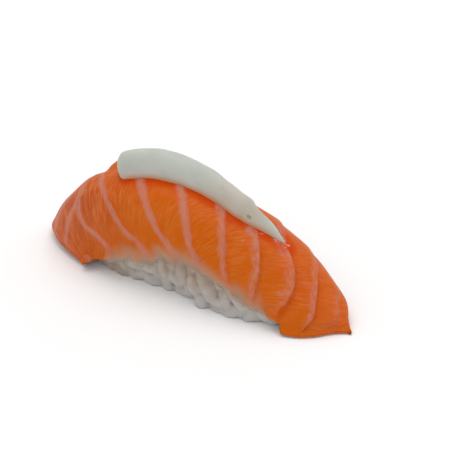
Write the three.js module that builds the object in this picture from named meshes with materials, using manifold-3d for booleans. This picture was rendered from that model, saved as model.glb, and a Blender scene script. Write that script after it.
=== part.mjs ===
// A piece of salmon nigiri: a hand-pressed loaf of rice, a slice of salmon draped over it, and a bead of
// white sauce along the top. Millimetres, +Z up. The loaf stands on z = 0 and the slice runs along X.
import * as THREE from "three";
import { mergeVertices } from "three/addons/utils/BufferGeometryUtils.js";
import Module from "manifold-3d";

// ---- driving dimensions ----

// The slice hangs on three rails, each given from its left end to its right end.
const RIDGE = rail([
  [-51.5, 1, 2.5], [-43.5, -2, 12.5], [-32.5, -2.5, 21.5], [-15, -1.5, 25.5],
  [4.5, -0.5, 22], [22, -0.5, 14], [34.5, -2.5, 5.5], [40.5, -5.5, 0.8],
]);
const NEAR_EDGE = rail([
  [-32, -12, 0.8], [-26.5, -13, 4.2], [-18.5, -13.5, 8.5], [-7, -13.5, 11],
  [4.5, -14, 9.2], [15.5, -14.5, 5.8], [25.2, -14, 3], [27.1, -15, 0.8],
]);
const FAR_EDGE = rail([
  [-40, 7, 2.5], [-33.5, 10.5, 5.5], [-23, 12.5, 7.5], [-10.5, 13, 8.5],
  [2, 13.5, 8.5], [13, 12.5, 7], [23, 10, 4], [30, 5, 0.8],
]);
const CROWN = 0.33; // how broad the slice's top is, as a share of its width
const BLUNT = { to: 0.12, crown: 0.45 }; // up to here, the left end grows as broad as this
const DROP = 0.55; // how straight its sides hang, as a share of their height
const POINTED_FROM = 0.89; // from here on, the right end narrows to a point
const END_BELLY = 3; // how far that end's edge bows out between its point and each corner
const SLICE_THICK = 5.5; // at the middle
const EDGE_THICK = 1; // at the rim
const RIM_POWER = 2.5; // the higher, the closer to its side edges the slice stays thick
const THINNER = { left: [-0.1, 0.3], right: [0.06, 0.4] }; // shares of its length from end to full
const FLOOR_GAP = 0.3; // the slice's ends stop this far above the floor
const CONTACT_GAP = 0.35; // between two pieces that touch
const SLICE_CELLS = { perFlake: 4, across: 22 };
const SMALL_STEP = 0.004; // in u and v, over which the surface's direction is measured

// The slice is a row of flakes with a line of fat between each two. A line's path is where it lies, 0 to 1
// along the slice, at the ridge and at each quarter of the way down to the near edge. Its step is how far the
// flake on its left stands above the one on its right, and its reach is how far down that step shows, in v.
const FAT_LINES = [
  { path: [0.215, 0.012, 0.01, 0.01, 0.01], step: 0, reach: 0.35 },
  { path: [0.235, 0.197, 0.023, 0.02, 0.02], step: -0.3, reach: 0.6 },
  { path: [0.25, 0.206, 0.168, 0.194, 0.222], step: -0.3, reach: 0.95 },
  { path: [0.288, 0.299, 0.299, 0.31, 0.367], step: -0.7, reach: 1.05 },
  { path: [0.386, 0.398, 0.406, 0.424, 0.479], step: 0.2, reach: 1.1 },
  { path: [0.467, 0.491, 0.509, 0.529, 0.566], step: 0.4, reach: 1.1 },
  { path: [0.549, 0.579, 0.608, 0.64, 0.69], step: 0.6, reach: 1.1 },
  { path: [0.611, 0.659, 0.705, 0.742, 0.753], step: 1, reach: 1 },
  { path: [0.686, 0.758, 0.799, 0.827, 0.876], step: 1.3, reach: 0.75 },
  { path: [0.778, 0.828, 0.915, 0.985, 0.985], step: 1.1, reach: 0.6 },
  { path: [0.86, 0.96, 0.99, 0.99, 0.99], step: 0.3, reach: 0.3 },
  { path: [0.95, 0.985, 0.99, 0.99, 0.99], step: 0.2, reach: 0.2 },
];
const REACH_FADE = 0.2; // a step fades out over this much to either side of its reach
const FAR_LEAN = 0.5; // on the far side a line leans on by this share of what it leans on the near side
const LEAST_LEAN = -0.04; // and a line that leans to the left counts as leaning no more than this
const FAR_LOSS = { share: 0.65, from: -0.15, to: 0.1 }; // the steps are lower there, past these v
const LEAST_FLAKE = 0.01; // the narrowest a flake gets, where its lines run out at an end
const LIP = 0.12; // the share of a flake over which the step at its left line falls
const RIM_FADE = { along: 0.05, across: 0.15 }; // the steps level out this close to the slice's rim
const HUMP = { height: 2.4, rise: [0.274, 0.296], fall: [0.4, 0.6] }; // one flake stands up: mm, u and u
const HUMP_ACROSS = { middle: 0.28, halfWidth: 0.2 }; // in v

// The rice loaf under the slice.
const LOAF = { middle: -3.5, halfLength: 32.5, halfWidth: 10.8, squareness: 4 };
const WAIST = 8; // height at which the loaf is widest
const TUCK = 0.1; // how much narrower it is at its foot, as a share
const BELLY = { from: -6, to: 6, push: 0.36, top: 14 }; // the near side is pushed out right of this
const LOAF_CELLS = { round: 48, rings: [0, 1.5, 3.5, 6, 9, 13, 18, 28] };
const WALL_STEP = 0.02; // radians and millimetres, over which the wall's direction is measured
const WALL_SAMPLES = 720; // round the wall, to measure its length
const COVER_TOP = 60; // well above everything
const COVER_CELLS = { along: 40, across: 16 };
const COVER_SKIRT = 8; // how far the cut under the slice runs past its side edges

// A cooked grain, and how the grains that show lie on the loaf's wall.
const GRAIN = { length: 6.4, width: 2.9, thickness: 2.5 };
const GRAIN_OUTLINE = [[0, -0.5], [0.38, -0.33], [0.5, 0.02], [0.36, 0.36], [0, 0.5]]; // radius, place
const GRAIN_SIDES = 5;
const GRAIN_UNEVEN = 0.14; // share by which each of its sizes may differ
const GRAIN_SPACING = 5.9;
const GRAIN_ROWS = { lowest: 1.5, rise: 2.6, count: 6 };
const GRAIN_STRAY = { round: 0.02, up: 0.65 }; // from its even place, at most: radians and millimetres
const ROW_SHIFT = { even: 0.5, stray: 0.4 }; // each row starts this far past the one below, as shares
const GRAIN_SUNK = 0.45; // how deep a grain's middle lies inside the wall
const GRAIN_TILT = 0.35; // radians out of the wall, at most
const GRAIN_MOVE = { down: 0.7, inward: 0.21 }; // a grain that meets the slice is moved by this
const GRAIN_MOVES = 4; // and left out after so many tries
const GRAIN_SEED = 11;

// The bead of sauce, from its blunt left end to its pointed right end: how far along, half its width, and
// how far its middle lies towards the far side.
const BEAD = rail([
  [0, 2.2, -0.8], [0.025, 3.3, -1.1], [0.06, 3.95, -0.75], [0.25, 4.15, 0.75], [0.48, 3.65, 1.05],
  [0.6, 3.15, 0], [0.7, 3.15, -0.7], [0.745, 3, -0.65], [0.79, 2.5, -0.85], [0.89, 1.6, -0.35],
  [0.95, 0.9, -0.15], [1, 0.3, 0],
]);
const BEAD_SPAN = { from: 0.342, to: 0.691 }; // along the slice
const BEAD_HEIGHT = 1.32; // times its half width
const BEAD_POWER = 1; // the lower, the squarer its shoulders
const BEAD_CELLS = { along: 30, over: 12, under: 4 };
const CROWN_MM_PER_V = 27; // width of slice for each unit of v, near the ridge
const BED = { halfWidth: 0.16, edge: 0.15, end: 0.03 }; // the slice is level under the bead: v, v and u

const SALMON_COLOUR = 0xd8703a;
const RICE_COLOUR = 0xe4e0d8;
const SAUCE_COLOUR = 0xe9ebe4;

// ---- helpers ----

const wasm = await Module();
wasm.setup();

/** A smooth curve through points, whose parameter takes the points at even steps. */
function rail(points) {
  return new THREE.CatmullRomCurve3(
    points.map((p) => new THREE.Vector3(...p)),
    false,
    "catmullrom",
  );
}

/** A repeatable stream of numbers from 0 to 1. */
function seededRandom(seed) {
  let state = seed;
  return () => {
    state = (state * 1664525 + 1013904223) % 4294967296;
    return state / 4294967296;
  };
}

const { clamp, lerp, smoothstep } = THREE.MathUtils;
const steps = (count) => Array.from({ length: count + 1 }, (_, i) => i / count);

/** A closed shell between two grids of points, one above the other, with walls round the rim. */
function shellGeometry(top, bottom) {
  const rows = top.length;
  const columns = top[0].length;
  const points = [...top.flat(), ...bottom.flat()];
  const upper = (i, j) => i * columns + j;
  const lower = (i, j) => rows * columns + i * columns + j;
  const faces = [];
  const quad = (a, b, c, d) => faces.push(a, b, c, a, c, d);
  for (let i = 0; i < rows - 1; i++) {
    for (let j = 0; j < columns - 1; j++) {
      quad(upper(i, j), upper(i + 1, j), upper(i + 1, j + 1), upper(i, j + 1));
      quad(lower(i, j), lower(i, j + 1), lower(i + 1, j + 1), lower(i + 1, j));
    }
    quad(upper(i, 0), lower(i, 0), lower(i + 1, 0), upper(i + 1, 0));
    const last = columns - 1;
    quad(upper(i, last), upper(i + 1, last), lower(i + 1, last), lower(i, last));
  }
  for (let j = 0; j < columns - 1; j++) {
    quad(upper(0, j), upper(0, j + 1), lower(0, j + 1), lower(0, j));
    quad(upper(rows - 1, j), lower(rows - 1, j), lower(rows - 1, j + 1), upper(rows - 1, j + 1));
  }
  return indexedGeometry(points, faces);
}

/** A closed skin over rings of points, with a fan over the first ring and one over the last. */
function ringsGeometry(rings) {
  const size = rings[0].length;
  const points = rings.flat();
  const faces = [];
  for (let i = 0; i < rings.length - 1; i++) {
    for (let j = 0; j < size; j++) {
      const next = (j + 1) % size;
      const [a, b, c, d] = [i * size + j, i * size + next, (i + 1) * size + next, (i + 1) * size + j];
      faces.push(a, b, c, a, c, d);
    }
  }
  for (const [ring, flip] of [[0, true], [rings.length - 1, false]]) {
    const hub = points.length;
    const sum = rings[ring].reduce((total, p) => total.add(p), new THREE.Vector3());
    points.push(sum.divideScalar(size));
    for (let j = 0; j < size; j++) {
      const a = ring * size + j;
      const b = ring * size + ((j + 1) % size);
      faces.push(...(flip ? [hub, b, a] : [hub, a, b]));
    }
  }
  return indexedGeometry(points, faces);
}

function indexedGeometry(points, faces) {
  const geometry = new THREE.BufferGeometry();
  const numbers = points.flatMap((p) => p.toArray());
  geometry.setAttribute("position", new THREE.Float32BufferAttribute(numbers, 3));
  geometry.setIndex(faces);
  return geometry;
}

/** A closed geometry as a solid that can be cut and joined. */
function solidOf(geometry) {
  const bare = geometry.clone();
  bare.deleteAttribute("normal");
  bare.deleteAttribute("uv");
  const merged = mergeVertices(bare, 1e-4);
  const triVerts = new Uint32Array(merged.index.array);
  const vertProperties = new Float32Array(merged.attributes.position.array);
  return new wasm.Manifold(new wasm.Mesh({ numProp: 3, vertProperties, triVerts }));
}

function geometryOf(solid) {
  const mesh = solid.getMesh();
  const geometry = new THREE.BufferGeometry();
  geometry.setAttribute("position", new THREE.BufferAttribute(new Float32Array(mesh.vertProperties), 3));
  geometry.setIndex(new THREE.BufferAttribute(new Uint32Array(mesh.triVerts), 1));
  geometry.computeVertexNormals();
  return geometry;
}

// ---- the slice as a surface: u runs from its left end to its right end, v from near edge to far edge ----

/** A point of the plain draped sheet: a cubic arch from the ridge down to each side edge. */
function sheetPoint(u, v) {
  const ridge = RIDGE.getPoint(u);
  const near = NEAR_EDGE.getPoint(u);
  const far = FAR_EDGE.getPoint(u);
  const edge = v < 0 ? near : far;
  const side = v < 0 ? 1 : -1;
  const t = Math.abs(v);
  const pointed = smoothstep(u, POINTED_FROM, 1);
  const straight = edge.clone().sub(ridge);
  const sideways = near.clone().sub(far).multiplyScalar(side).lerp(straight, pointed).setZ(0);
  const upwards = new THREE.Vector3(0, 0, DROP * (ridge.z - edge.z));
  const bow = new THREE.Vector3(ridge.y - edge.y, edge.x - ridge.x, 0).setLength(END_BELLY * side);
  const inwards = ridge.clone().sub(edge).multiplyScalar(CROWN).add(bow);
  const crown = lerp(BLUNT.crown, CROWN, smoothstep(u, 0, BLUNT.to));
  const shoulder = ridge.clone().addScaledVector(sideways, crown);
  const hang = edge.clone().add(upwards.lerp(inwards, pointed));
  return ridge
    .multiplyScalar((1 - t) ** 3)
    .addScaledVector(shoulder, 3 * (1 - t) ** 2 * t)
    .addScaledVector(hang, 3 * (1 - t) * t * t)
    .addScaledVector(edge, t ** 3);
}

function sheetNormal(u, v) {
  const [u0, u1] = [Math.max(0, u - SMALL_STEP), Math.min(1, u + SMALL_STEP)];
  const [v0, v1] = [Math.max(-1, v - SMALL_STEP), Math.min(1, v + SMALL_STEP)];
  const along = sheetPoint(u1, v).sub(sheetPoint(u0, v));
  const across = sheetPoint(u, v1).sub(sheetPoint(u, v0));
  return along.cross(across).normalize();
}

const FLAKES = FAT_LINES.length + 1;
const LINE_CURVES = FAT_LINES.map(({ path }) => rail(path.map((along) => [along, 0, 0])));

/** Where line k lies along the slice, at v. Line 0 is its left end and the last its right end. */
function lineAt(k, v) {
  if (k === 0) return 0;
  if (k === FLAKES) return 1;
  const { path } = FAT_LINES[k - 1];
  const lean = Math.max(path.at(-1) - path[0], LEAST_LEAN);
  const lie = v < 0 ? LINE_CURVES[k - 1].getPoint(-v).x : path[0] - FAR_LEAN * lean * v;
  return clamp(lie, k * LEAST_FLAKE, 1 - (FLAKES - k) * LEAST_FLAKE);
}

/** The flake coordinate: a flake's number, and as its fraction how far across that flake the point lies. */
function flakeAt(u, v) {
  let k = 0;
  while (k < FLAKES - 1 && u >= lineAt(k + 1, v)) k++;
  const [left, right] = [lineAt(k, v), lineAt(k + 1, v)];
  return k + (u - left) / (right - left);
}

function alongAt(flake, v) {
  const k = Math.min(Math.floor(flake), FLAKES - 1);
  return lerp(lineAt(k, v), lineAt(k + 1, v), flake - k);
}

/** How much of the flakes' steps is left here: none at the slice's rim and under the bead. */
function stepFade(u, v) {
  const ends = smoothstep(Math.min(u, 1 - u), 0, RIM_FADE.along);
  const sides = smoothstep(1 - Math.abs(v), 0, RIM_FADE.across);
  const insideBead = Math.min(u - BEAD_SPAN.from, BEAD_SPAN.to - u);
  const besideBead = smoothstep(Math.abs(v), BED.halfWidth, BED.halfWidth + BED.edge);
  const bed = smoothstep(insideBead, -BED.end, 0) * (1 - besideBead);
  return ends * sides * (1 - bed);
}

/** The height of the step at line k, at v: none at the slice's two ends. */
function stepAt(k, v) {
  if (k === 0 || k === FLAKES) return 0;
  const { step, reach } = FAT_LINES[k - 1];
  const lost = smoothstep(Math.abs(v), reach - REACH_FADE, reach + REACH_FADE);
  const lostFar = FAR_LOSS.share * smoothstep(v, FAR_LOSS.from, FAR_LOSS.to);
  return step * (1 - lost) * (1 - lostFar);
}

/** How far the flakes' steps move the surface: it falls past a line and climbs again to the next. */
function flakeRelief(u, v) {
  const flake = flakeAt(u, v);
  const k = Math.min(Math.floor(flake), FLAKES - 1);
  const across = flake - k;
  const fallen = smoothstep(across, 0, LIP);
  const afterLine = 0.5 * stepAt(k, v) * (1 - fallen - fallen * (1 - across) ** 2);
  const beforeNext = 0.5 * stepAt(k + 1, v) * across ** 2;
  return (afterLine + beforeNext) * stepFade(u, v);
}

/** How far one flake stands up in a hump, on the far side of the bead's blunt end. */
function humpHeight(u, v) {
  const across = smoothstep(1 - Math.abs(v - HUMP_ACROSS.middle) / HUMP_ACROSS.halfWidth, 0, 1);
  return HUMP.height * across * smoothstep(u, ...HUMP.rise) * (1 - smoothstep(u, ...HUMP.fall));
}

function topPoint(u, v) {
  return sheetPoint(u, v).addScaledVector(sheetNormal(u, v), flakeRelief(u, v) + humpHeight(u, v));
}

function sliceThickness(u, v) {
  const acrossTaper = 1 - Math.abs(v) ** RIM_POWER;
  const alongTaper = smoothstep(u, ...THINNER.left) * smoothstep(1 - u, ...THINNER.right);
  return EDGE_THICK + (SLICE_THICK - EDGE_THICK) * acrossTaper * alongTaper;
}

/** A point of the slice's underside, or the given distance below it. */
function undersidePoint(u, v, below = 0) {
  const depth = sliceThickness(u, v) + below;
  const point = sheetPoint(u, v).addScaledVector(sheetNormal(u, v), -depth);
  return point.setZ(Math.max(point.z, FLOOR_GAP));
}

/** The slice's mesh lines follow its lines of fat, so that each step stays crisp. */
function sliceGeometry() {
  const within = [0, ...steps(SLICE_CELLS.perFlake).slice(0, -1).map((s) => lerp(LIP, 1, s))];
  const flakes = Array.from({ length: FLAKES }, (_, k) => within.map((s) => k + s)).flat();
  const vs = steps(SLICE_CELLS.across).map((s) => 2 * s - 1);
  const row = (pointAt, flake) => vs.map((v) => pointAt(alongAt(flake, v), v));
  const grid = (pointAt) => [...flakes, FLAKES].map((flake) => row(pointAt, flake));
  return shellGeometry(grid(topPoint), grid(undersidePoint));
}

// ---- the rice: a loaf cut to the slice's underside, with the grains that show fused on ----

/** Everything above the slice's underside, and a skirt past its side edges. */
function coverSolid() {
  const us = steps(COVER_CELLS.along);
  const vs = steps(COVER_CELLS.across).map((s) => 2 * s - 1);
  const bottom = us.map((u) => {
    const outward = NEAR_EDGE.getPoint(u).sub(FAR_EDGE.getPoint(u)).setZ(0).setLength(COVER_SKIRT);
    const row = vs.map((v) => undersidePoint(u, v, CONTACT_GAP));
    return [row[0].clone().add(outward), ...row, row.at(-1).clone().sub(outward)];
  });
  const top = bottom.map((row) => row.map((point) => point.clone().setZ(COVER_TOP)));
  return solidOf(shellGeometry(top, bottom));
}

/** A point of the loaf's wall, at an angle round it and a height. */
function wallPoint(angle, z) {
  const swell = z < WAIST ? 1 - TUCK * ((WAIST - z) / WAIST) ** 2 : 1;
  const power = 2 / LOAF.squareness;
  const [c, s] = [Math.cos(angle), Math.sin(angle)];
  const x = LOAF.middle + LOAF.halfLength * swell * Math.sign(c) * Math.abs(c) ** power;
  const y = LOAF.halfWidth * swell * Math.sign(s) * Math.abs(s) ** power;
  const belly = BELLY.push * smoothstep(x, BELLY.from, BELLY.to) * Math.max(0, 1 - z / BELLY.top);
  return new THREE.Vector3(x, y < 0 ? y * (1 + belly) : y, z);
}

function coreSolid() {
  const angles = Array.from({ length: LOAF_CELLS.round }, (_, i) => (i / LOAF_CELLS.round) * 2 * Math.PI);
  const rings = LOAF_CELLS.rings.map((z) => angles.map((angle) => wallPoint(angle, z)));
  return solidOf(ringsGeometry(rings)).subtract(coverSolid());
}

/** A frame on the wall whose X runs round the loaf and whose Z points out of it. */
function wallFrame(angle, z) {
  const round = wallPoint(angle + WALL_STEP, z).sub(wallPoint(angle - WALL_STEP, z)).normalize();
  const rise = wallPoint(angle, z + WALL_STEP).sub(wallPoint(angle, z - WALL_STEP)).normalize();
  const out = round.clone().cross(rise).normalize();
  return new THREE.Matrix4().makeBasis(round, out.clone().cross(round), out);
}

/** A grain lying along X, tilted and turned at random. */
function grainGeometry(random) {
  const uneven = () => 1 + GRAIN_UNEVEN * (2 * random() - 1);
  const outline = GRAIN_OUTLINE.map(([radius, place]) => new THREE.Vector2(radius, place));
  const grain = new THREE.LatheGeometry(outline, GRAIN_SIDES).rotateZ(Math.PI / 2);
  grain.scale(GRAIN.length * uneven(), GRAIN.width * uneven(), GRAIN.thickness * uneven());
  grain.rotateY(GRAIN_TILT * (2 * random() - 1));
  grain.rotateZ(Math.PI * random());
  return grain;
}

/** One grain on the wall, moved down and in until it clears the slice, or nothing where it can't. */
function seatedGrain(angle, z, keepOut, random) {
  const grain = grainGeometry(random);
  for (let move = 0; move < GRAIN_MOVES; move++) {
    const height = z - move * GRAIN_MOVE.down;
    const frame = wallFrame(angle, height);
    const outward = new THREE.Vector3().setFromMatrixColumn(frame, 2);
    const depth = GRAIN_SUNK + move * GRAIN_MOVE.inward;
    const seat = wallPoint(angle, height).addScaledVector(outward, -depth);
    const placed = solidOf(grain.clone().applyMatrix4(frame.setPosition(seat)));
    if (height > 0 && placed.intersect(keepOut).volume() === 0) return placed;
  }
  return null;
}

/** Samples round the wall at its widest: each one's angle, and the distance to it round the wall. */
function wallSamples() {
  const samples = [{ angle: 0, reached: 0 }];
  let last = wallPoint(0, WAIST);
  for (const share of steps(WALL_SAMPLES).slice(1)) {
    const angle = 2 * Math.PI * share;
    const point = wallPoint(angle, WAIST);
    samples.push({ angle, reached: samples.at(-1).reached + point.distanceTo(last) });
    last = point;
  }
  return samples;
}

/** The angles of a row's grains, an even distance apart and all shifted by a share of that distance. */
function rowAngles(samples, shift) {
  const length = samples.at(-1).reached;
  const count = Math.round(length / GRAIN_SPACING);
  return Array.from({ length: count }, (_, k) => {
    const wanted = (((k + shift) % count) / count) * length;
    return samples.find(({ reached }) => reached >= wanted).angle;
  });
}

function grainSolids(random) {
  const keepOut = coverSolid();
  const samples = wallSamples();
  const either = () => 2 * random() - 1;
  const grains = [];
  for (let row = 0; row < GRAIN_ROWS.count; row++) {
    const shift = row * ROW_SHIFT.even + ROW_SHIFT.stray * random();
    for (const angle of rowAngles(samples, shift)) {
      const z = GRAIN_ROWS.lowest + GRAIN_ROWS.rise * row + GRAIN_STRAY.up * either();
      grains.push(seatedGrain(angle + GRAIN_STRAY.round * either(), z, keepOut, random));
    }
  }
  return grains.filter(Boolean);
}

/** The loaf with its grains, cut flat at the floor; a crumb that comes loose is dropped. */
function riceSolid() {
  const grains = grainSolids(seededRandom(GRAIN_SEED));
  const heap = grains.reduce((joined, grain) => joined.add(grain), coreSolid());
  const bodies = heap.trimByPlane([0, 0, 1], 0).decompose();
  return bodies.reduce((largest, body) => (body.volume() > largest.volume() ? body : largest));
}

// ---- the bead of sauce ----

/** One section of the bead: an arc over the top, then back along the slice it lies on. */
function beadSection(t) {
  const { x: along, y: halfWidth, z: offset } = BEAD.getPoint(t);
  const u = lerp(BEAD_SPAN.from, BEAD_SPAN.to, clamp(along, 0, 1));
  const footing = (sideways, height) => {
    const v = (offset + sideways) / CROWN_MM_PER_V;
    return topPoint(u, v).addScaledVector(sheetNormal(u, v), CONTACT_GAP + height);
  };
  const over = steps(BEAD_CELLS.over).map((s) => {
    const angle = Math.PI * s;
    const height = BEAD_HEIGHT * halfWidth * Math.max(0, Math.sin(angle)) ** BEAD_POWER;
    return footing(halfWidth * Math.cos(angle), height);
  });
  const under = steps(BEAD_CELLS.under).slice(1, -1);
  return [...over, ...under.map((s) => footing(halfWidth * (2 * s - 1), 0))];
}

const beadGeometry = () => ringsGeometry(steps(BEAD_CELLS.along).map(beadSection));

// ---- the scene graph ----

function piece(name, geometry, color, roughness) {
  const mesh = new THREE.Mesh(geometry, new THREE.MeshStandardMaterial({ color, roughness, metalness: 0 }));
  mesh.name = name;
  return mesh;
}

const nigiri = new THREE.Group();
nigiri.add(
  piece("rice", geometryOf(riceSolid()), RICE_COLOUR, 0.55),
  piece("salmon", sliceGeometry(), SALMON_COLOUR, 0.35),
  piece("cream_strip", beadGeometry(), SAUCE_COLOUR, 0.4),
);

// The origin is the middle of the whole piece's base.
const bounds = new THREE.Box3().setFromObject(nigiri);
nigiri.position.set(-(bounds.min.x + bounds.max.x) / 2, -(bounds.min.y + bounds.max.y) / 2, 0);

export default nigiri;
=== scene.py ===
# %% [markdown]
# # Salmon nigiri
#
# A nigiri is a loaf of rice pressed in the hand, with a slice of raw salmon draped over it. This one
# carries a bead of white sauce along its ridge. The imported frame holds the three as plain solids. This
# script builds each one again as a fine surface with its own finish, at the same size and in the same
# place, and then takes the plain solid away.

import math

import bmesh
import bpy
import numpy as np
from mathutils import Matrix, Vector, noise
from mathutils.bvhtree import BVHTree


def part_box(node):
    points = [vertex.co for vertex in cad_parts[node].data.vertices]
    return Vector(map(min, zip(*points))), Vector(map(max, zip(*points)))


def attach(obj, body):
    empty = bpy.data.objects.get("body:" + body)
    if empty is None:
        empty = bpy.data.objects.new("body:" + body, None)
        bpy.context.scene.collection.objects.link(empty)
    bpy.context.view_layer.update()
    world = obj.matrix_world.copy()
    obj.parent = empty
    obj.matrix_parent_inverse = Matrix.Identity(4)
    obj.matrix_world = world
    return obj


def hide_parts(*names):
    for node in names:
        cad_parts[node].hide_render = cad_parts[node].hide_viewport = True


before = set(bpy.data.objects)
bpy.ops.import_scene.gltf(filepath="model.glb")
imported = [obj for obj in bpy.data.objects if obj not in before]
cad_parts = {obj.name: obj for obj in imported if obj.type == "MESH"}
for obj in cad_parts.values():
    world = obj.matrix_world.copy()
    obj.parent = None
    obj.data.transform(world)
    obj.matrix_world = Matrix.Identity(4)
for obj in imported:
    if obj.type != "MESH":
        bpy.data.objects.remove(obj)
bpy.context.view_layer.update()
MM = 0.001  # the scene is in metres, and a cook measures in millimetres
print("solids:", sorted(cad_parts))

# %% [markdown]
# ## Camera
#
# A short lens close by would swell the near end of the slice. Food is usually shot with a long lens from
# further away, so that both ends keep their size. Here the lens is worked out from the scale wanted in
# the picture: how many pixels a metre takes at the aim.

# %% Camera
AZIMUTH = math.radians(33)  # to the right of the front
ELEVATION = math.radians(26)
DISTANCE = 400 * MM
AIM = Vector((9.74, -0.255, 15.42)) * MM
PICTURE_WIDTH = 458  # pixels
PIXELS_PER_METRE = 4200
SENSOR_WIDTH = 36  # millimetres, as lenses are given

back = Vector((
    math.sin(AZIMUTH) * math.cos(ELEVATION),
    -math.cos(AZIMUTH) * math.cos(ELEVATION),
    math.sin(ELEVATION),
))
camera = bpy.data.objects.new("camera", bpy.data.cameras.new("camera"))
camera.data.sensor_width = SENSOR_WIDTH
camera.data.lens = PIXELS_PER_METRE * DISTANCE * SENSOR_WIDTH / PICTURE_WIDTH
camera.location = AIM + DISTANCE * back
camera.rotation_euler = back.to_track_quat("Z", "Y").to_euler()
bpy.context.scene.collection.objects.link(camera)
bpy.context.scene.camera = camera
print("lens in mm:", round(camera.data.lens, 1))

# %% [markdown]
# ## Nodes from Python
#
# A material is a tree of nodes. Adding each node and each link by hand takes many lines that say little.
# Two small classes let sums be written as sums: `Socket` wraps one output of a node, and `a * 2 + b` on
# it adds the Math nodes. `Nodes` adds any other node in one call, with its settings first and its sockets
# after them. The same classes serve Geometry Nodes, because both kinds of tree are built alike.

# %% A socket that can be used in sums
def find_socket(sockets, name):
    """A socket by its number, its identifier or its name."""
    if isinstance(name, int):
        return sockets[name]
    by_identifier = [s for s in sockets if s.identifier == name]
    return (by_identifier or [s for s in sockets if s.name == name])[0]


class Socket:
    """One output of a node."""

    def __init__(self, nodes, socket):
        self.nodes = nodes
        self.socket = socket

    def math(self, operation, *values):
        return self.nodes.add("ShaderNodeMath", {"operation": operation}, values)

    def sibling(self, name):
        """Another output of the same node."""
        return Socket(self.nodes, find_socket(self.socket.node.outputs, name))

    def __add__(self, other):
        return self.math("ADD", self, other)

    def __radd__(self, other):
        return self.math("ADD", other, self)

    def __sub__(self, other):
        return self.math("SUBTRACT", self, other)

    def __rsub__(self, other):
        return self.math("SUBTRACT", other, self)

    def __mul__(self, other):
        return self.math("MULTIPLY", self, other)

    def __rmul__(self, other):
        return self.math("MULTIPLY", other, self)

    def __abs__(self):
        return self.math("ABSOLUTE", self)


# %% A tree that takes nodes in one call
class Nodes:
    """A node tree, of a material or of Geometry Nodes."""

    def __init__(self, tree):
        self.tree = tree
        tree.nodes.clear()

    def add(self, kind, settings=None, sockets=(), output=0):
        """Adds a node and gives one of its outputs. Sockets are a list in order, or a dict by name."""
        node = self.tree.nodes.new(kind)
        for name, value in (settings or {}).items():
            setattr(node, name, value)
        named = sockets.items() if isinstance(sockets, dict) else enumerate(sockets)
        for name, value in named:
            self.feed(find_socket(node.inputs, name), value)
        return Socket(self, find_socket(node.outputs, output)) if node.outputs else None

    def feed(self, socket, value):
        if isinstance(value, Socket):
            self.tree.links.new(value.socket, socket)
        else:
            socket.default_value = value

    def mix(self, share, first, second):
        """The first colour where share is 0, the second where it is 1."""
        sockets = {"Factor_Float": share, "A_Color": first, "B_Color": second}
        return self.add("ShaderNodeMix", {"data_type": "RGBA"}, sockets, "Result_Color")

    def ramp(self, value, low, high):
        """0 below low and 1 above high, with a smooth rise between. A low above high makes it fall."""
        sockets = {"Value": value, "From Min": low, "From Max": high}
        return self.add("ShaderNodeMapRange", {"interpolation_type": "SMOOTHSTEP"}, sockets)

    def noise(self, place, size, detail=2.0, roughness=0.5):
        """Soft random values round 0.5, in lumps of about this size."""
        sockets = {"Vector": place, "Scale": 1 / size, "Detail": detail, "Roughness": roughness}
        return self.add("ShaderNodeTexNoise", None, sockets)

    def attribute(self, name, output="Fac"):
        return self.add("ShaderNodeAttribute", {"attribute_name": name}, (), output)

    def place(self):
        """Where a point lies on its piece, in metres."""
        return self.add("ShaderNodeTexCoord", None, (), "Object")

    def vector(self, operation, sockets):
        return self.add("ShaderNodeVectorMath", {"operation": operation}, sockets)

    def bump(self, height, strength, distance):
        """The normal of a surface that looks raised by up to this distance where height is 1."""
        sockets = {"Strength": strength, "Distance": distance, "Height": height}
        return self.add("ShaderNodeBump", None, sockets, "Normal")


# %% A material, its tree and its last node
def new_material(name):
    material = bpy.data.materials.new(name)
    material.use_nodes = True
    return material, Nodes(material.node_tree)


def finish_material(nodes, **sockets):
    """Ends a tree in a Principled shader; underscores in the names stand for spaces."""
    spaced = {name.replace("_", " "): value for name, value in sockets.items()}
    surface = nodes.add("ShaderNodeBsdfPrincipled", None, spaced)
    nodes.add("ShaderNodeOutputMaterial", None, {"Surface": surface})


def linear(red, green, blue):
    """A colour picked from a screen, from 0 to 255, as the light that a shader works with."""
    def light(level):
        # The numbers are those of the sRGB standard.
        share = level / 255
        return share / 12.92 if share <= 0.04045 else ((share + 0.055) / 1.055) ** 2.4
    return (light(red), light(green), light(blue), 1.0)


# %% [markdown]
# ## Table and light
#
# The food stands on a plain white table under a large soft light from above and slightly behind, with a
# pale room round it. The soft light gives raw fish its broad sheen along the top, and the dim room keeps
# the sides deep in colour. A small hard lamp would give sharp white dots instead.

# %% Table
TABLE_SIZE = 6.0  # metres
TABLE_WHITE = (0.93, 0.93, 0.93, 1)
TABLE_WHITER = (0.95, 0.95, 0.95, 1)
SPECK_SIZE = 40 * MM

table_mesh = bpy.data.meshes.new("table")
half = TABLE_SIZE / 2
table_corners = [(-half, -half, 0), (half, -half, 0), (half, half, 0), (-half, half, 0)]
table_mesh.from_pydata(table_corners, [], [(0, 1, 2, 3)])
table = bpy.data.objects.new("table", table_mesh)
bpy.context.scene.collection.objects.link(table)

table_white, nodes = new_material("white_table")
speck = nodes.noise(nodes.place(), SPECK_SIZE)
finish_material(
    nodes,
    Base_Color=nodes.mix(speck, TABLE_WHITE, TABLE_WHITER),
    Roughness=0.9,
    Specular_IOR_Level=0.0,
)
table_mesh.materials.append(table_white)
print("table:", TABLE_SIZE, "m square")

# %% Light
LIGHTS = [  # name, place and side in metres, and power in watts
    ("above", (-0.12, 0.18, 0.62), 0.6, 1.8),
    ("front", (0.35, -0.75, 0.45), 0.5, 0.9),
]
ROOM_STRENGTH = 0.74


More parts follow.
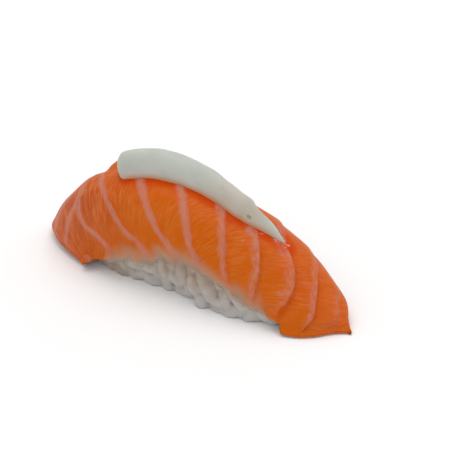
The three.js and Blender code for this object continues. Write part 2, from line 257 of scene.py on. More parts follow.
def soft_light(name, place, size, power):
    """A square light that faces the food."""
    light = bpy.data.objects.new(name, bpy.data.lights.new(name, "AREA"))
    light.data.shape = "SQUARE"
    light.data.size = size
    light.data.energy = power
    light.location = place
    light.rotation_euler = Vector(place).to_track_quat("Z", "Y").to_euler()
    bpy.context.scene.collection.objects.link(light)


for light in LIGHTS:
    soft_light(*light)

room = bpy.data.worlds.new("room")
room.use_nodes = True
background = room.node_tree.nodes["Background"].inputs
background["Color"].default_value = (1, 1, 1, 1)
background["Strength"].default_value = ROOM_STRENGTH
bpy.context.scene.world = room
bpy.context.scene.view_settings.view_transform = "Standard"  # a colour comes out as it was picked

# %% [markdown]
# ## The slice of salmon: its shape
#
# The slice lies on the loaf like a cloth: high along its ridge, steep at its sides, and with both ends
# drooping past the rice to the table. Cloth simulation could drape it, but a fish slice is thick and cut
# at a slant, and its outline matters most. So it is a surface given by three curves, the ridge and the
# two side edges, with an arch from the ridge down to each edge. Every point of it has two numbers: u from
# 0 to 1 along the slice, and v from -1 at the near edge over 0 on the ridge to 1 at the far edge.

# %% The three curves that carry the slice
def rail(points):
    """The knots of a curve, given in millimetres."""
    return np.array(points, float) * MM


RIDGE = rail([
    (-51.5, 1, 2.5), (-43.5, -2, 12.5), (-32.5, -2.5, 21.5), (-15, -1.5, 25.5),
    (4.5, -0.5, 22), (22, -0.5, 14), (34.5, -2.5, 5.5), (40.5, -5.5, 0.8),
])
NEAR_EDGE = rail([
    (-32, -12, 0.8), (-26.5, -13, 4.2), (-18.5, -13.5, 8.5), (-7, -13.5, 11),
    (4.5, -14, 9.2), (15.5, -14.5, 5.8), (25.2, -14, 3), (27.1, -15, 0.8),
])
FAR_EDGE = rail([
    (-40, 7, 2.5), (-33.5, 10.5, 5.5), (-23, 12.5, 7.5), (-10.5, 13, 8.5),
    (2, 13.5, 8.5), (13, 12.5, 7), (23, 10, 4), (30, 5, 0.8),
])
print("the ridge climbs to", (RIDGE[:, 2].max() / MM).round(1), "mm")


# %% Smooth curves and directions
def along(knots, u):
    """Points of the smooth curve through the knots, for each u from 0 at the first to 1 at the last."""
    first = 2 * knots[0] - knots[1]
    last = 2 * knots[-1] - knots[-2]
    knots = np.vstack([first, knots, last])
    place = np.clip(u, 0, 1) * (len(knots) - 3)
    i = np.minimum(place.astype(int), len(knots) - 4)
    t = (place - i)[:, None]
    a, b, c, d = (knots[i + k] for k in range(4))
    return b + 0.5 * t * (c - a + t * (2 * a - 5 * b + 4 * c - d + t * (3 * (b - c) + d - a)))


def smooth(x, low, high):
    """0 at low and 1 at high, with a smooth rise between."""
    t = np.clip((x - low) / (high - low), 0, 1)
    return t * t * (3 - 2 * t)


def unit(vectors):
    return vectors / np.linalg.norm(vectors, axis=1, keepdims=True)


print("the ridge's middle in mm:", (along(RIDGE, np.array([0.5]))[0] / MM).round(1))

# %% The plain draped surface
CROWN = 0.33  # how broad its top is, as a share of its width
BLUNT_CROWN = 0.45  # as broad as this at its left end
BLUNT_TO = 0.12
DROP = 0.55  # how straight its sides hang, as a share of their height
POINTED_FROM = 0.89  # from here its right end narrows to a point
END_BELLY = 3 * MM  # how far that end's edge bows out
UV_STEP = 0.004  # in u and v, for measuring directions


def drape(u, v):
    """Points of the plain surface."""
    ridge, near, far = (along(knots, u) for knots in (RIDGE, NEAR_EDGE, FAR_EDGE))
    to_near = (v < 0)[:, None]
    edge = np.where(to_near, near, far)
    side = np.where(to_near, 1.0, -1.0)
    t = np.abs(v)[:, None]
    pointed = smooth(u, POINTED_FROM, 1)[:, None]
    across = ((near - far) * side * (1 - pointed) + (edge - ridge) * pointed) * (1, 1, 0)
    bow = unit(np.stack([ridge[:, 1] - edge[:, 1], edge[:, 0] - ridge[:, 0], 0 * u], 1)) * END_BELLY * side
    upwards = (ridge - edge) * (0, 0, DROP)
    inwards = (ridge - edge) * CROWN + bow
    crown = BLUNT_CROWN + (CROWN - BLUNT_CROWN) * smooth(u, 0, BLUNT_TO)[:, None]
    shoulder = ridge + across * crown
    hang = edge + upwards * (1 - pointed) + inwards * pointed
    return (1 - t) ** 3 * ridge + 3 * (1 - t) ** 2 * t * shoulder + 3 * (1 - t) * t**2 * hang + t**3 * edge


def facing(u, v):
    """The direction straight out of the surface."""
    ahead = drape(np.minimum(u + UV_STEP, 1), v) - drape(np.maximum(u - UV_STEP, 0), v)
    over = drape(u, v + UV_STEP) - drape(u, v - UV_STEP)
    return unit(np.cross(ahead, over))


print("the crown's middle in mm:", (drape(np.array([0.5]), np.array([0.0]))[0] / MM).round(1))

# %% [markdown]
# Salmon is a row of flakes with a thin wall of fat between each two. Where the knife crosses those walls
# they show as pale lines, and towards the tail end each flake stands a little above the next, like roof
# tiles. The lines and steps could be painted or bumped on, but then the mesh would cut across them. So
# the mesh follows them: its columns are counted in flakes, and each line of fat is exactly one column.

# %% The flakes and the lines of fat
# For each line: how far along the slice it lies at the ridge and at each quarter of the way down to the
# near edge, in millimetres the step down past it and the width of its pale band on its left and on its
# right, how far down it shows (in v), and how pale it is.
LINE_FIELDS = ("path", "step", "left_band", "right_band", "reach", "paleness")
FAT_LINES = [dict(zip(LINE_FIELDS, line)) for line in [
    ((0.215, 0.012, 0.010, 0.010, 0.010), 0.0, 1.3, 1.3, 0.35, 0.9),
    ((0.235, 0.197, 0.023, 0.020, 0.020), -0.3, 1.2, 1.2, 0.6, 0.9),
    ((0.250, 0.206, 0.168, 0.194, 0.222), -0.3, 1.4, 1.4, 0.95, 0.92),
    ((0.288, 0.299, 0.299, 0.310, 0.367), -0.7, 1.35, 1.35, 1.05, 0.92),
    ((0.386, 0.398, 0.406, 0.424, 0.479), 0.2, 1.3, 1.3, 1.1, 0.92),
    ((0.467, 0.491, 0.509, 0.529, 0.566), 0.4, 1.3, 1.1, 1.1, 0.92),
    ((0.549, 0.579, 0.608, 0.640, 0.690), 0.6, 1.3, 0.8, 1.1, 0.92),
    ((0.611, 0.659, 0.705, 0.742, 0.753), 1.0, 1.8, 0.5, 1.0, 0.9),
    ((0.686, 0.758, 0.799, 0.827, 0.876), 1.3, 2.4, 0.5, 0.75, 0.72),
    ((0.778, 0.828, 0.915, 0.985, 0.985), 1.1, 1.6, 0.5, 0.6, 0.78),
    ((0.860, 0.960, 0.990, 0.990, 0.990), 0.3, 1.6, 1.2, 0.3, 0.5),
    ((0.950, 0.985, 0.990, 0.990, 0.990), 0.2, 0.8, 0.5, 0.2, 0.3),
]]
LINE_PATHS = np.array([line["path"] for line in FAT_LINES]).T
FLAKES = len(FAT_LINES) + 1
FAR_LEAN = 0.5  # on the far side the lines lean on by this share
LEAST_LEAN = -0.04
LEAST_FLAKE = 0.01
REACH_FADE = 0.2  # in v
FAR_LOSS = 0.65  # on the far side the steps are lower by this share
FAR_LOSS_FROM = (-0.15, 0.1)  # in v
LIP = 0.1  # the share of a flake over which the step at its left line falls
RIM_FADE_ALONG = 0.05  # the steps level out this close to the rim
RIM_FADE_ACROSS = 0.15


def line_values(field, ends=0.0):
    """One field of all lines, with the slice's two ends counted as lines too."""
    return np.array([ends, *(line[field] for line in FAT_LINES), ends])


def shown(k, v):
    """How much is left of line k at v: each fades out at its own reach."""
    reach = line_values("reach")[k]
    return 1 - smooth(np.abs(v), reach - REACH_FADE, reach + REACH_FADE)


def lines_at(v):
    """Where each line lies along the slice at each v: one row a line."""
    near = along(LINE_PATHS, np.abs(v)).T
    lean = np.maximum(LINE_PATHS[-1] - LINE_PATHS[0], LEAST_LEAN)[:, None]
    far = LINE_PATHS[0][:, None] - FAR_LEAN * lean * v
    least = np.arange(1, FLAKES)[:, None] * LEAST_FLAKE
    # No line crosses the one before it.
    lie = np.maximum.accumulate(np.where(v < 0, near, far) - least) + least
    return np.vstack([0 * v, np.clip(lie, least, 1 - FLAKES * LEAST_FLAKE + least), 0 * v + 1])


def u_of_flake(flake, v):
    """Where along the slice a flake coordinate lies: 3.5 is halfway across the fourth flake."""
    k = np.minimum(flake.astype(int), FLAKES - 1)
    lines = lines_at(v)
    column = np.arange(len(v))
    left, right = lines[k, column], lines[k + 1, column]
    return left + (right - left) * (flake - k)


def flake_of_u(u, v):
    lines = lines_at(v)
    k = (u >= lines[1:-1]).sum(0)
    column = np.arange(len(v))
    left, right = lines[k, column], lines[k + 1, column]
    return k + (u - left) / (right - left)


print("flakes:", FLAKES)

# %% The steps between the flakes
BEAD_FROM = 0.342  # the sauce lies along this stretch of the slice
BEAD_TO = 0.691
BED_HALF_WIDTH = 0.16  # the slice is level under it: in v
BED_EDGE = 0.15
BED_END = 0.03


def step_fade(u, v):
    """How much of the steps is left: none at the rim and under the sauce."""
    ends = smooth(np.minimum(u, 1 - u), 0, RIM_FADE_ALONG)
    sides = smooth(1 - np.abs(v), 0, RIM_FADE_ACROSS)
    inside = smooth(np.minimum(u - BEAD_FROM, BEAD_TO - u), -BED_END, 0)
    beside = smooth(np.abs(v), BED_HALF_WIDTH, BED_HALF_WIDTH + BED_EDGE)
    return ends * sides * (1 - inside * (1 - beside))


def relief(flake, u, v):
    """How far the steps lift or lower the surface: it falls past a line and climbs again to the next."""
    k = np.minimum(flake.astype(int), FLAKES - 1)
    across = flake - k
    steps = line_values("step") * MM
    fallen = smooth(across, 0, LIP)
    after = 0.5 * steps[k] * shown(k, v) * (1 - fallen - fallen * (1 - across) ** 2)
    before = 0.5 * steps[k + 1] * shown(k + 1, v) * across**2
    return (after + before) * step_fade(u, v) * (1 - FAR_LOSS * smooth(v, *FAR_LOSS_FROM))


def top(u, v):
    """Points of the slice's top, steps and all."""
    return drape(u, v) + facing(u, v) * relief(flake_of_u(u, v), u, v)[:, None]


print("steps of up to", line_values("step").max(), "mm")

# %% Its thickness and its underside
SLICE_THICK = 5.5 * MM
EDGE_THICK = 1 * MM
FEATHER_THICK = 0.35 * MM  # at its side edges it thins out to this
FEATHER = 0.35  # over this stretch, in v
RIM_POWER = 2.5  # the higher, the closer to its side edges it stays thick
THINNER_LEFT = (-0.1, 0.3)  # from end to full thickness
THINNER_RIGHT = (0.06, 0.4)
FLOOR_GAP = 0.3 * MM


def thickness(u, v):
    across = 1 - np.minimum(np.abs(v), 1) ** RIM_POWER
    length = smooth(u, *THINNER_LEFT) * smooth(1 - u, *THINNER_RIGHT)
    plain = EDGE_THICK + (SLICE_THICK - EDGE_THICK) * across * length
    return FEATHER_THICK + (plain - FEATHER_THICK) * smooth(1 - np.abs(v), 0, FEATHER)


def above_floor(points, gap=FLOOR_GAP):
    return np.column_stack([points[:, :2], np.maximum(points[:, 2], gap)])


def underside(u, v, below=0.0):
    """Points of the slice's underside, or this far below it."""
    return above_floor(drape(u, v) - facing(u, v) * (thickness(u, v) + below)[:, None])


print("thickness at the middle in mm:", (thickness(np.array([0.5]), np.array([0.0])) / MM).round(1))

# %% [markdown]
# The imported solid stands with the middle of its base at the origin, while the curves above have their own
# origin, under the highest part of the ridge. One shift takes every finished point from the second to the
# first.

# %% From the curves' origin to the solid's
SHIFT = np.array([5.77, 0.745, 0.0]) * MM


def grid(columns, rows):
    """Every pair of a column and a row value, as two flat lists."""
    a, b = np.meshgrid(columns, rows, indexing="ij")
    return a.ravel(), b.ravel()


coarse = above_floor(top(*grid(np.linspace(0, 1, 200), np.linspace(-1, 1, 80)))) + SHIFT
packed_low, packed_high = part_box("salmon")
off_low = (coarse.min(0) - packed_low) / MM
off_high = (coarse.max(0) - packed_high) / MM
print("off the packed slice, in mm:", off_low.round(2), off_high.round(2))

# %% [markdown]
# The mesh is two sheets, the top and the underside, joined by a rounded rim. Over the rice the near edge
# hangs a little lower than the solid's, further in some places than in others, and the edge runs uneven,
# as a cut edge does.

# %% The mesh's columns and its uneven edges
LIP_COLUMNS = 6  # over the step at a flake's left line
FLAKE_COLUMNS = 16  # over the rest of the flake
APRON = [  # how much further than the solid the near edge hangs: u, and the reach in v
    (0.1, 0), (0.26, 0.21), (0.4, 0.21), (0.5, 0.09), (0.62, 0.09),
    (0.72, 0.17), (0.8, 0.26), (0.86, 0.2), (0.95, 0),
]
EDGE_WAVES = [(8, 0.6), (17, 0.4)]  # waves over the slice's length, and their share
EDGE_UNEVEN = 0.15  # as a share of that reach
WAVE_OFFSET = 5  # radians, for each wave over the length, so that the waves don't all start together
# How far the cut end at the right stands out, from the near edge to the far one.
END_EDGE = rail([(0.5,), (0.3,), (0,), (-1.2,), (0,), (0.3,), (-0.2,), (0.3,), (0,)])
END_EDGE_FROM = 0.9


def flake_columns():
    """The flake coordinate of each column, closer together over the steps."""
    lip = np.linspace(0, LIP, LIP_COLUMNS, endpoint=False)
    rest = np.linspace(LIP, 1, FLAKE_COLUMNS, endpoint=False)
    one = np.concatenate([lip, rest])
    return np.append(np.concatenate([k + one for k in range(FLAKES)]), FLAKES)


def near_reach(flake):
    """How far the near edge hangs at each column, in v past 1."""
    u = u_of_flake(flake, 0 * flake - 1)
    waves = 0
    for count, share in EDGE_WAVES:
        waves = waves + share * np.sin(count * u * 2 * math.pi + WAVE_OFFSET * count)
    return np.interp(u, *zip(*APRON)) * (1 + EDGE_UNEVEN * waves)


def end_shift(u, v):
    """How far the cut end at the right is moved along the slice."""
    ahead = unit(drape(0 * v + 1, v) - drape(0 * v + END_EDGE_FROM, v)) * (1, 1, 0)
    return ahead * along(END_EDGE, (v + 1) / 2) * smooth(u, END_EDGE_FROM, 1)[:, None]


flakes = flake_columns()
print("columns:", len(flakes))

# %% [markdown]
# No slice is as smooth as a formula. Behind the sauce's left end one flake stands up in a hump, by the
# near left corner a bit of the flesh is curled up into a bead, and a slow swell runs over all of it.
# Sculpting could add these, but a script can't repeat strokes of the hand. Each is a smooth rise instead,
# with a place and a size.

# %% The hump, the curl and the swell
HUMP_RISE = (0.274, 0.296)  # where it rises, in u
HUMP_FALL = (0.4, 0.6)
HUMP_MIDDLE = 0.24  # in v
HUMP_HALF_WIDTH = 0.2
HUMP = 2.4 * MM
CURL_AT = (0.05, -0.94)  # u and v
CURL_RADIUS = 1.7 * MM
CURL_SHOULDER = 0.7  # the share of that radius over which it rises
CURL = 1.5 * MM
SWELL = 0.18 * MM
SWELL_LENGTH = 7 * MM


def hump(u, v):
    across = smooth(1 - np.abs(v - HUMP_MIDDLE) / HUMP_HALF_WIDTH, 0, 1)
    return HUMP * across * smooth(u, *HUMP_RISE) * (1 - smooth(u, *HUMP_FALL))


def curl(points):
    """How high the bead of curled flesh stands at these points."""
    middle = drape(*np.array([CURL_AT]).T)
    return CURL * smooth(1 - np.linalg.norm(points - middle, axis=1) / CURL_RADIUS, 0, CURL_SHOULDER)


def swell(points):
    return np.array([noise.noise(Vector(p / SWELL_LENGTH)) for p in points])[:, None] * SWELL


print("the hump stands", HUMP / MM, "mm high and the curl", CURL / MM)

# %% The two sheets
ROWS = 126
COLUMNS = len(flakes)
flake, share = grid(flakes, np.linspace(0, 1, ROWS))
v = -1 + share * 2 - (1 - share) * near_reach(flake)
u = u_of_flake(flake, v)
out = facing(u, v)
top_points = drape(u, v) + end_shift(u, v)
lift = relief(flake, u, v) + hump(u, v) + curl(top_points)
top_points = above_floor(top_points + out * (lift[:, None] + swell(top_points)))
under_points = above_floor(top_points - out * thickness(u, v)[:, None])
print("slice grid:", COLUMNS, "by", ROWS)


# %% Join the two sheets by a rounded rim
RIM_RINGS = 3


def perimeter(columns, rows):
    """The numbers of the grid points round its rim, in order, and of each one's inner neighbour."""
    number = np.arange(columns * rows).reshape(columns, rows)
    sides = [
        (number[:-1, 0], number[:-1, 1]),
        (number[-1, :-1], number[-2, :-1]),
        (number[:0:-1, -1], number[:0:-1, -2]),
        (number[0, :0:-1], number[1, :0:-1]),
    ]
    return np.concatenate([rim for rim, _ in sides]), np.concatenate([inner for _, inner in sides])


def quads_between(first, second):
    """Faces between two closed rings of point numbers."""
    return np.stack([first, second, np.roll(second, -1), np.roll(first, -1)], 1)


def sheet_quads(columns, rows):
    number = np.arange(columns * rows).reshape(columns, rows)
    corners = [number[:-1, :-1], number[1:, :-1], number[1:, 1:], number[:-1, 1:]]
    return np.stack([c.ravel() for c in corners], 1)


rim, inner = perimeter(COLUMNS, ROWS)
middle = (top_points[rim] + under_points[rim]) / 2
half_up = (top_points[rim] - under_points[rim]) / 2
outward = unit(top_points[rim] - top_points[inner]) * np.linalg.norm(half_up, axis=1, keepdims=True)
rim_points = []
rings = [rim]
for ring in range(1, RIM_RINGS + 1):
    turn = math.pi * ring / (RIM_RINGS + 1)
    rim_points.append(above_floor(middle + half_up * math.cos(turn) + outward * math.sin(turn)))
    rings.append(2 * COLUMNS * ROWS + (ring - 1) * len(rim) + np.arange(len(rim)))
rings.append(COLUMNS * ROWS + rim)

top_quads = sheet_quads(COLUMNS, ROWS)
under_quads = COLUMNS * ROWS + top_quads[:, ::-1]
rim_quads = np.concatenate([quads_between(a, b)[:, ::-1] for a, b in zip(rings, rings[1:])])
salmon_points = np.concatenate([top_points, under_points, *rim_points]) + SHIFT
salmon_faces = np.concatenate([top_quads, under_quads, rim_quads])
print("rim:", len(rim), "points round")


# %% A mesh as a piece
def new_piece(name, points, faces, material):
    """A smooth mesh object, with its place in its mesh."""
    mesh = bpy.data.meshes.new(name)
    mesh.from_pydata(np.asarray(points).tolist(), [], list(map(tuple, faces)))
    mesh.polygons.foreach_set("use_smooth", [True] * len(mesh.polygons))
    mesh.materials.append(material)
    piece = bpy.data.objects.new(name, mesh)
    bpy.context.scene.collection.objects.link(piece)
    return piece


def give(mesh, name, values, domain="POINT"):
    """Stores a number, or a vector, for each point or each face corner, for the material to read."""
    kind, field = ("FLOAT", "value") if values.ndim == 1 else ("FLOAT_VECTOR", "vector")
    mesh.attributes.new(name, kind, domain).data.foreach_set(field, values.ravel())


# %% [markdown]
# ## Where the sauce lies
#
# The bead of sauce comes later, but the salmon's colour depends on it: next to the sauce the flesh is in
# its shade and deeper in colour. So the bead's plan is drawn up first, as it lies on the slice.

# %% The bead's plan
# How far along it, from 0 to 1, half its width and how far it lies to the far side, both in millimetres.
BEAD_PLAN = np.array([
    (0, 0.2, -0.7), (0.004, 1.4, -0.75), (0.012, 2.5, -0.9), (0.03, 3.4, -1.05), (0.065, 3.95, -0.7),
    (0.25, 4.15, 0.75), (0.48, 3.65, 1.05), (0.6, 3.25, 0.2), (0.7, 3.15, -0.7), (0.745, 3.0, -0.65),
    (0.79, 2.5, -0.85), (0.89, 1.6, -0.35), (0.95, 0.9, -0.15), (1, 0.25, 0),
])
BEAD_RINGS = 180
CROWN_WIDTH = 27 * MM  # the slice's width over its crown, for one unit of v
stroke = along(BEAD_PLAN, np.linspace(0, 1, BEAD_RINGS))
print("bead up to", (2 * stroke[:, 1].max()).round(1), "mm wide")

# %% [markdown]
# ## The slice of salmon: its finish
#
# The colour is painted by rules, in the slice's own terms: how far a point is from the nearest line of
# fat, how far across its flake, how far from the edge. Those are stored on the mesh. The fibres of the
# flesh run straight across each flake at a slant, so each flake also gets its own flat map with the
# fibres upright in it.

# %% What the material reads from the mesh
FIBRE_SLANT = [(0, 48), (4, 25), (12, 50)]  # a flake's number, and how its fibres slant, in degrees
SLICE_LENGTH = 105 * MM
SLICE_HALF_WIDTH = 23 * MM
V_STEP = 0.01  # for measuring how a line leans
RICE_FROM = (0.12, 0.25)  # where the slice begins to lie on the rice
RICE_TO = (0.07, 0.27)  # the same, measured from its other end
PAST_RICE = 8 * MM  # past the rice the edge counts as this much further off
UNDERSIDE_LOSS = 8.0  # mm: the underside's margin ends this much further in
FLAKE_APART = 60 * MM  # between the flakes' places on the fibre map, so that no two look alike
END_BAND = 0.1  # the slice's two ends count as lines with a band this wide, in millimetres, and no paleness
BANDS_KEPT = 4  # distances from the fat are kept up to this many bands


def fat_distance():
    """How far each point is from the nearest fat line, in widths of its pale band, and how pale that is."""
    k = np.minimum(flake.astype(int), FLAKES - 1)
    lines = lines_at(v)
    column = np.arange(len(v))
    lean = (lines_at(v + V_STEP) - lines_at(v - V_STEP)) / (2 * V_STEP) * SLICE_LENGTH / SLICE_HALF_WIDTH
    straight = SLICE_LENGTH / np.sqrt(1 + lean**2)
    right_band = line_values("right_band", END_BAND)[k] * MM
    left_band = line_values("left_band", END_BAND)[k + 1] * MM
    past = (u - lines[k, column]) * straight[k, column] / right_band
    ahead = (lines[k + 1, column] - u) * straight[k + 1, column] / left_band
    nearest = np.where(past < ahead, k, k + 1)
    return np.minimum(past, ahead), line_values("paleness")[nearest] * shown(nearest, v)


def from_sauce():
    """How far each point is from the sauce, in millimetres."""
    share = (u - BEAD_FROM) / (BEAD_TO - BEAD_FROM)
    half_width, aside = (np.interp(share, stroke[:, 0], stroke[:, k]) for k in (1, 2))
    beside = np.maximum(np.abs(v * CROWN_WIDTH / MM - aside) - half_width, 0)
    past_end = np.maximum(np.abs(share - 0.5) - 0.5, 0) * (BEAD_TO - BEAD_FROM) * SLICE_LENGTH / MM
    return np.hypot(beside, past_end)


def from_side_edge():
    """How far each point is from the nearer side edge, over the surface, and further past the rice."""
    columns = top_points.reshape(COLUMNS, ROWS, 3)
    steps = np.linalg.norm(np.diff(columns, axis=1), axis=2)
    reached = np.concatenate([np.zeros((COLUMNS, 1)), steps.cumsum(1)], 1)
    to_edge = np.minimum(reached, reached[:, -1:] - reached).ravel()
    over_rice = smooth(u, *RICE_FROM) * smooth(1 - u, *RICE_TO)
    return to_edge + (1 - over_rice) * PAST_RICE


def fibre_map(k, u, v):
    """The flat map of flake k: x runs across the fibres and y along them."""
    slant = np.radians(np.interp(k, *zip(*FIBRE_SLANT)))
    x, y = u * SLICE_LENGTH, v * SLICE_HALF_WIDTH
    across = x * np.cos(slant) - y * np.sin(slant)
    lengthwise = x * np.sin(slant) + y * np.cos(slant)
    return np.stack([across, lengthwise, k * FLAKE_APART + 0 * across], -1)


distance, paleness = fat_distance()
point_values = {
    "fat_distance": np.minimum(distance, BANDS_KEPT),
    "fat_paleness": paleness,
    "from_edge": from_side_edge() / MM,
    "height_v": v,
    "length_u": u,
    "from_sauce": from_sauce(),
    "curl": curl(drape(u, v)) / CURL,
}
print("distances reach", distance.max().round(1), "bands")

# %% [markdown]
# The underside and the rim take these numbers over from the top. Where a number jumps at a line of fat, a
# point on that line can't hold both of its values, so such a number is kept on the corners of the faces
# instead.

# %% Build the slice
def spread_to_all(values, loss=0.0):
    """Values of the top's points, for the points of the underside and of the rim too."""
    return np.concatenate([values, values - loss, *[values[rim]] * RIM_RINGS])


all_u, all_v, all_flake = (spread_to_all(a) for a in (u, v, flake))
flesh, nodes = new_material("salmon_flesh")
salmon = new_piece("salmon_slice", salmon_points, salmon_faces, flesh)
for name, values in point_values.items():
    give(salmon.data, name, spread_to_all(values, UNDERSIDE_LOSS if name == "from_edge" else 0.0))

corner_flake = all_flake[salmon_faces]
flake_number = np.minimum(corner_flake.min(1).astype(int), FLAKES - 1)[:, None]
fibres = fibre_map(flake_number, all_u[salmon_faces], all_v[salmon_faces])
give(salmon.data, "fibres", fibres.reshape(-1, 3), "CORNER")
give(salmon.data, "across_flake", np.clip(corner_flake - flake_number, 0, 1).ravel(), "CORNER")
print("slice triangles:", sum(len(p.vertices) - 2 for p in salmon.data.polygons))

# %% [markdown]
# Salmon flesh is orange and more golden low on its sides. Towards the ridge at its left end it is painted
# pinker and darker, as painted sheen and shade. Beside the sauce and below each step it is painted
# deeper in colour, as painted shade, and fine pale streaks run along its fibres.
# It is deeper in colour beside the sauce and below each step, and fine pale streaks run along its fibres.
# An image could show all this, but it would blur close up and would not follow the flakes. Rules on the
# stored numbers stay sharp and do follow them. Where a rule below has a pair of numbers, it starts to
# hold at the first and holds in full at the second.

# %% Patterns in the flesh
CLOUD_SIZE = 5 * MM
GRAIN_SIZE = 0.4 * MM
WAVER_LENGTH = 6 * MM  # the fibres waver over this length
WAVER = 1.2 * MM  # by this much
STREAK_WIDTH = 0.3 * MM
STREAK_SQUEEZE = 0.05  # along the fibres, which draws the pattern out into streaks
STREAK_EDGE = (0.34, 0.66)  # in the pattern's own values, which lie round 0.5

place = nodes.place()
cloud = nodes.noise(place, CLOUD_SIZE)
grain = nodes.noise(place, GRAIN_SIZE, 3.0, 0.6)
waves = nodes.add("ShaderNodeTexNoise", None, {"Vector": place, "Scale": 1 / WAVER_LENGTH}, "Color")
waver = nodes.vector("SCALE", {"Vector": waves, "Scale": WAVER})
wavy = nodes.vector("ADD", [nodes.attribute("fibres", "Vector"), waver])
stretched = nodes.vector("MULTIPLY", [wavy, (1, STREAK_SQUEEZE, 1)])
streak = nodes.ramp(nodes.noise(stretched, STREAK_WIDTH, 1.0), *STREAK_EDGE)
print("streaks are drawn out", round(1 / STREAK_SQUEEZE), "times as long as they are wide")

# %% The flesh's colour
FLESH = linear(200, 88, 14)
FLESH_GOLD = linear(198, 93, 5)
# painted sheen and shade: pinker and darker towards the ridge at the left end
FLESH_SHEEN_SHADE = linear(170, 72, 38)
FLESH_STREAK = linear(214, 122, 66)
# painted shade beside the sauce and below each step, and deeper patches at random
FLESH_DEEP_AND_SHADE = linear(200, 66, 0)
LEFT_PART = (0.42, 0.2)  # in u
GOLD_DOWN = (0.15, 0.6)  # in v, down either side
SHEEN_SHADE_UP = (1.3, 0.3)
SHEEN_SHADE_SHARE = 0.8
SAUCE_SHADE_NEAR = (4.5, 0.5)  # millimetres from the sauce
SAUCE_SHADE_CLOUDS = 3  # millimetres by which the clouds shift that
SAUCE_SHADE_FROM = (0.32, 0.36)  # in u, so that there is none behind the sauce's blunt end
STREAK_SHARE = 0.2
STREAK_MORE_LEFT = 0.22
STREAK_MORE_HIGH = 0.25
STREAKS_UP = (0.95, 0.4)  # in v
STREAKS_IN_CLOUD = (0.2, 0.6)
STEP_SHADOW = (0.35, 0.0)  # in flakes
STEP_SHADOW_SHARE = 0.35
SAUCE_SHADE_SHARE = 0.9
DEEP_CLOUDS = 0.4

height_v = nodes.attribute("height_v")
ridge_v = abs(height_v)
length_u = nodes.attribute("length_u")
from_sauce_mm = nodes.attribute("from_sauce")
left = nodes.ramp(length_u, *LEFT_PART)
colour = nodes.mix(nodes.ramp(ridge_v, *GOLD_DOWN), FLESH, FLESH_GOLD)
# Painted sheen and shade towards the ridge at the left end
colour = nodes.mix(nodes.ramp(ridge_v, *SHEEN_SHADE_UP) * left * SHEEN_SHADE_SHARE, colour, FLESH_SHEEN_SHADE)

# Painted shade beside the sauce: the flesh is painted deeper there
sauce_shade = nodes.ramp(from_sauce_mm + (cloud - 0.5) * SAUCE_SHADE_CLOUDS, *SAUCE_SHADE_NEAR)
sauce_shade = sauce_shade * nodes.ramp(length_u, *SAUCE_SHADE_FROM)
streakiness = STREAK_SHARE + STREAK_MORE_LEFT * left + STREAK_MORE_HIGH * nodes.ramp(ridge_v, *STREAKS_UP)
streak_share = streak * streakiness * nodes.ramp(cloud, *STREAKS_IN_CLOUD) * (1 - sauce_shade)
colour = nodes.mix(streak_share, colour, FLESH_STREAK)

# Painted shadow just past each step and painted shade by the sauce, with deeper patches at random
step_shadow = nodes.ramp(nodes.attribute("across_flake"), *STEP_SHADOW)
shade = step_shadow * STEP_SHADOW_SHARE + sauce_shade * SAUCE_SHADE_SHARE + (cloud - 0.5) * DEEP_CLOUDS
colour = nodes.mix(nodes.ramp(shade, 0.0, 1.0), colour, FLESH_DEEP_AND_SHADE)
print("nodes for the flesh so far:", len(nodes.tree.nodes))

# %% [markdown]
# Where the slice thins out over the rice it turns pale, because the rice shows through it. Then come the
# lines of fat. Each is smooth at the left of the slice. Towards the right they are torn: ragged at their
# edges, and mottled in thin layers that lie alongside the line.

# %% The pale margin and the fat
MARGIN = linear(175, 143, 118)
FAT = linear(193, 126, 106)
PALE_MARGIN = (8.0, 1.5)  # millimetres from the edge
EDGE_CLOUDS = 3  # millimetres by which the clouds shift the margin's start
EDGE_GRAIN = 0.5
TORN_PART = (0.45, 0.75)  # in u
BLOT_SIZE = 4 * MM
WOBBLE_SIZE = 1.6 * MM
WOBBLE = 0.7  # in bands
WOBBLE_MORE_TORN = 0.8
FAT_BAND = (1.3, 0.2)  # in bands from the line
FAT_END = (0.98, 0.94)  # in u
LAYER_STRETCH = (1.4 * MM, 6 * MM, 20 * MM)  # across the line in bands, down it in v, along the slice in u
LAYER_SIZE = 0.45 * MM
LAYER_EDGE = (0.4, 0.6)
MOTTLE = 0.25
MOTTLE_MORE_TORN = 0.5

edge_mm = nodes.attribute("from_edge") + (cloud - 0.5) * EDGE_CLOUDS + (grain - 0.5) * EDGE_GRAIN
colour = nodes.mix(nodes.ramp(edge_mm, *PALE_MARGIN), colour, MARGIN)

blot = nodes.noise(place, BLOT_SIZE)
torn = nodes.ramp(length_u, *TORN_PART)
bands = nodes.attribute("fat_distance")
wobble = (nodes.noise(place, WOBBLE_SIZE, 3.0) - 0.5) * (WOBBLE + torn * WOBBLE_MORE_TORN)
wobble = wobble + (blot - 0.5) * (1 + torn)
fat = nodes.ramp(bands + wobble, *FAT_BAND)
in_layers = [value * size for value, size in zip((bands, height_v, length_u), LAYER_STRETCH)]
layered = nodes.add("ShaderNodeCombineXYZ", None, in_layers)
mottle = nodes.ramp(nodes.noise(layered, LAYER_SIZE, 3.0, 0.6), *LAYER_EDGE)
unmottled = 1 - (MOTTLE + torn * MOTTLE_MORE_TORN) * (1 - mottle)
fat_share = fat * nodes.attribute("fat_paleness") * unmottled * nodes.ramp(length_u, *FAT_END)
colour = nodes.mix(fat_share, colour, FAT)
print("with the margin and the fat:", len(nodes.tree.nodes))

# %% [markdown]
# Wet flesh throws back small broken glints, most of all on torn fat, at the sauce's point and at the
# curled corner. A glossy coat alone would give one smooth shine, and a shine moves with the eye. So the
# smallest glints are painted as pale flecks, drawn out along the fibres.

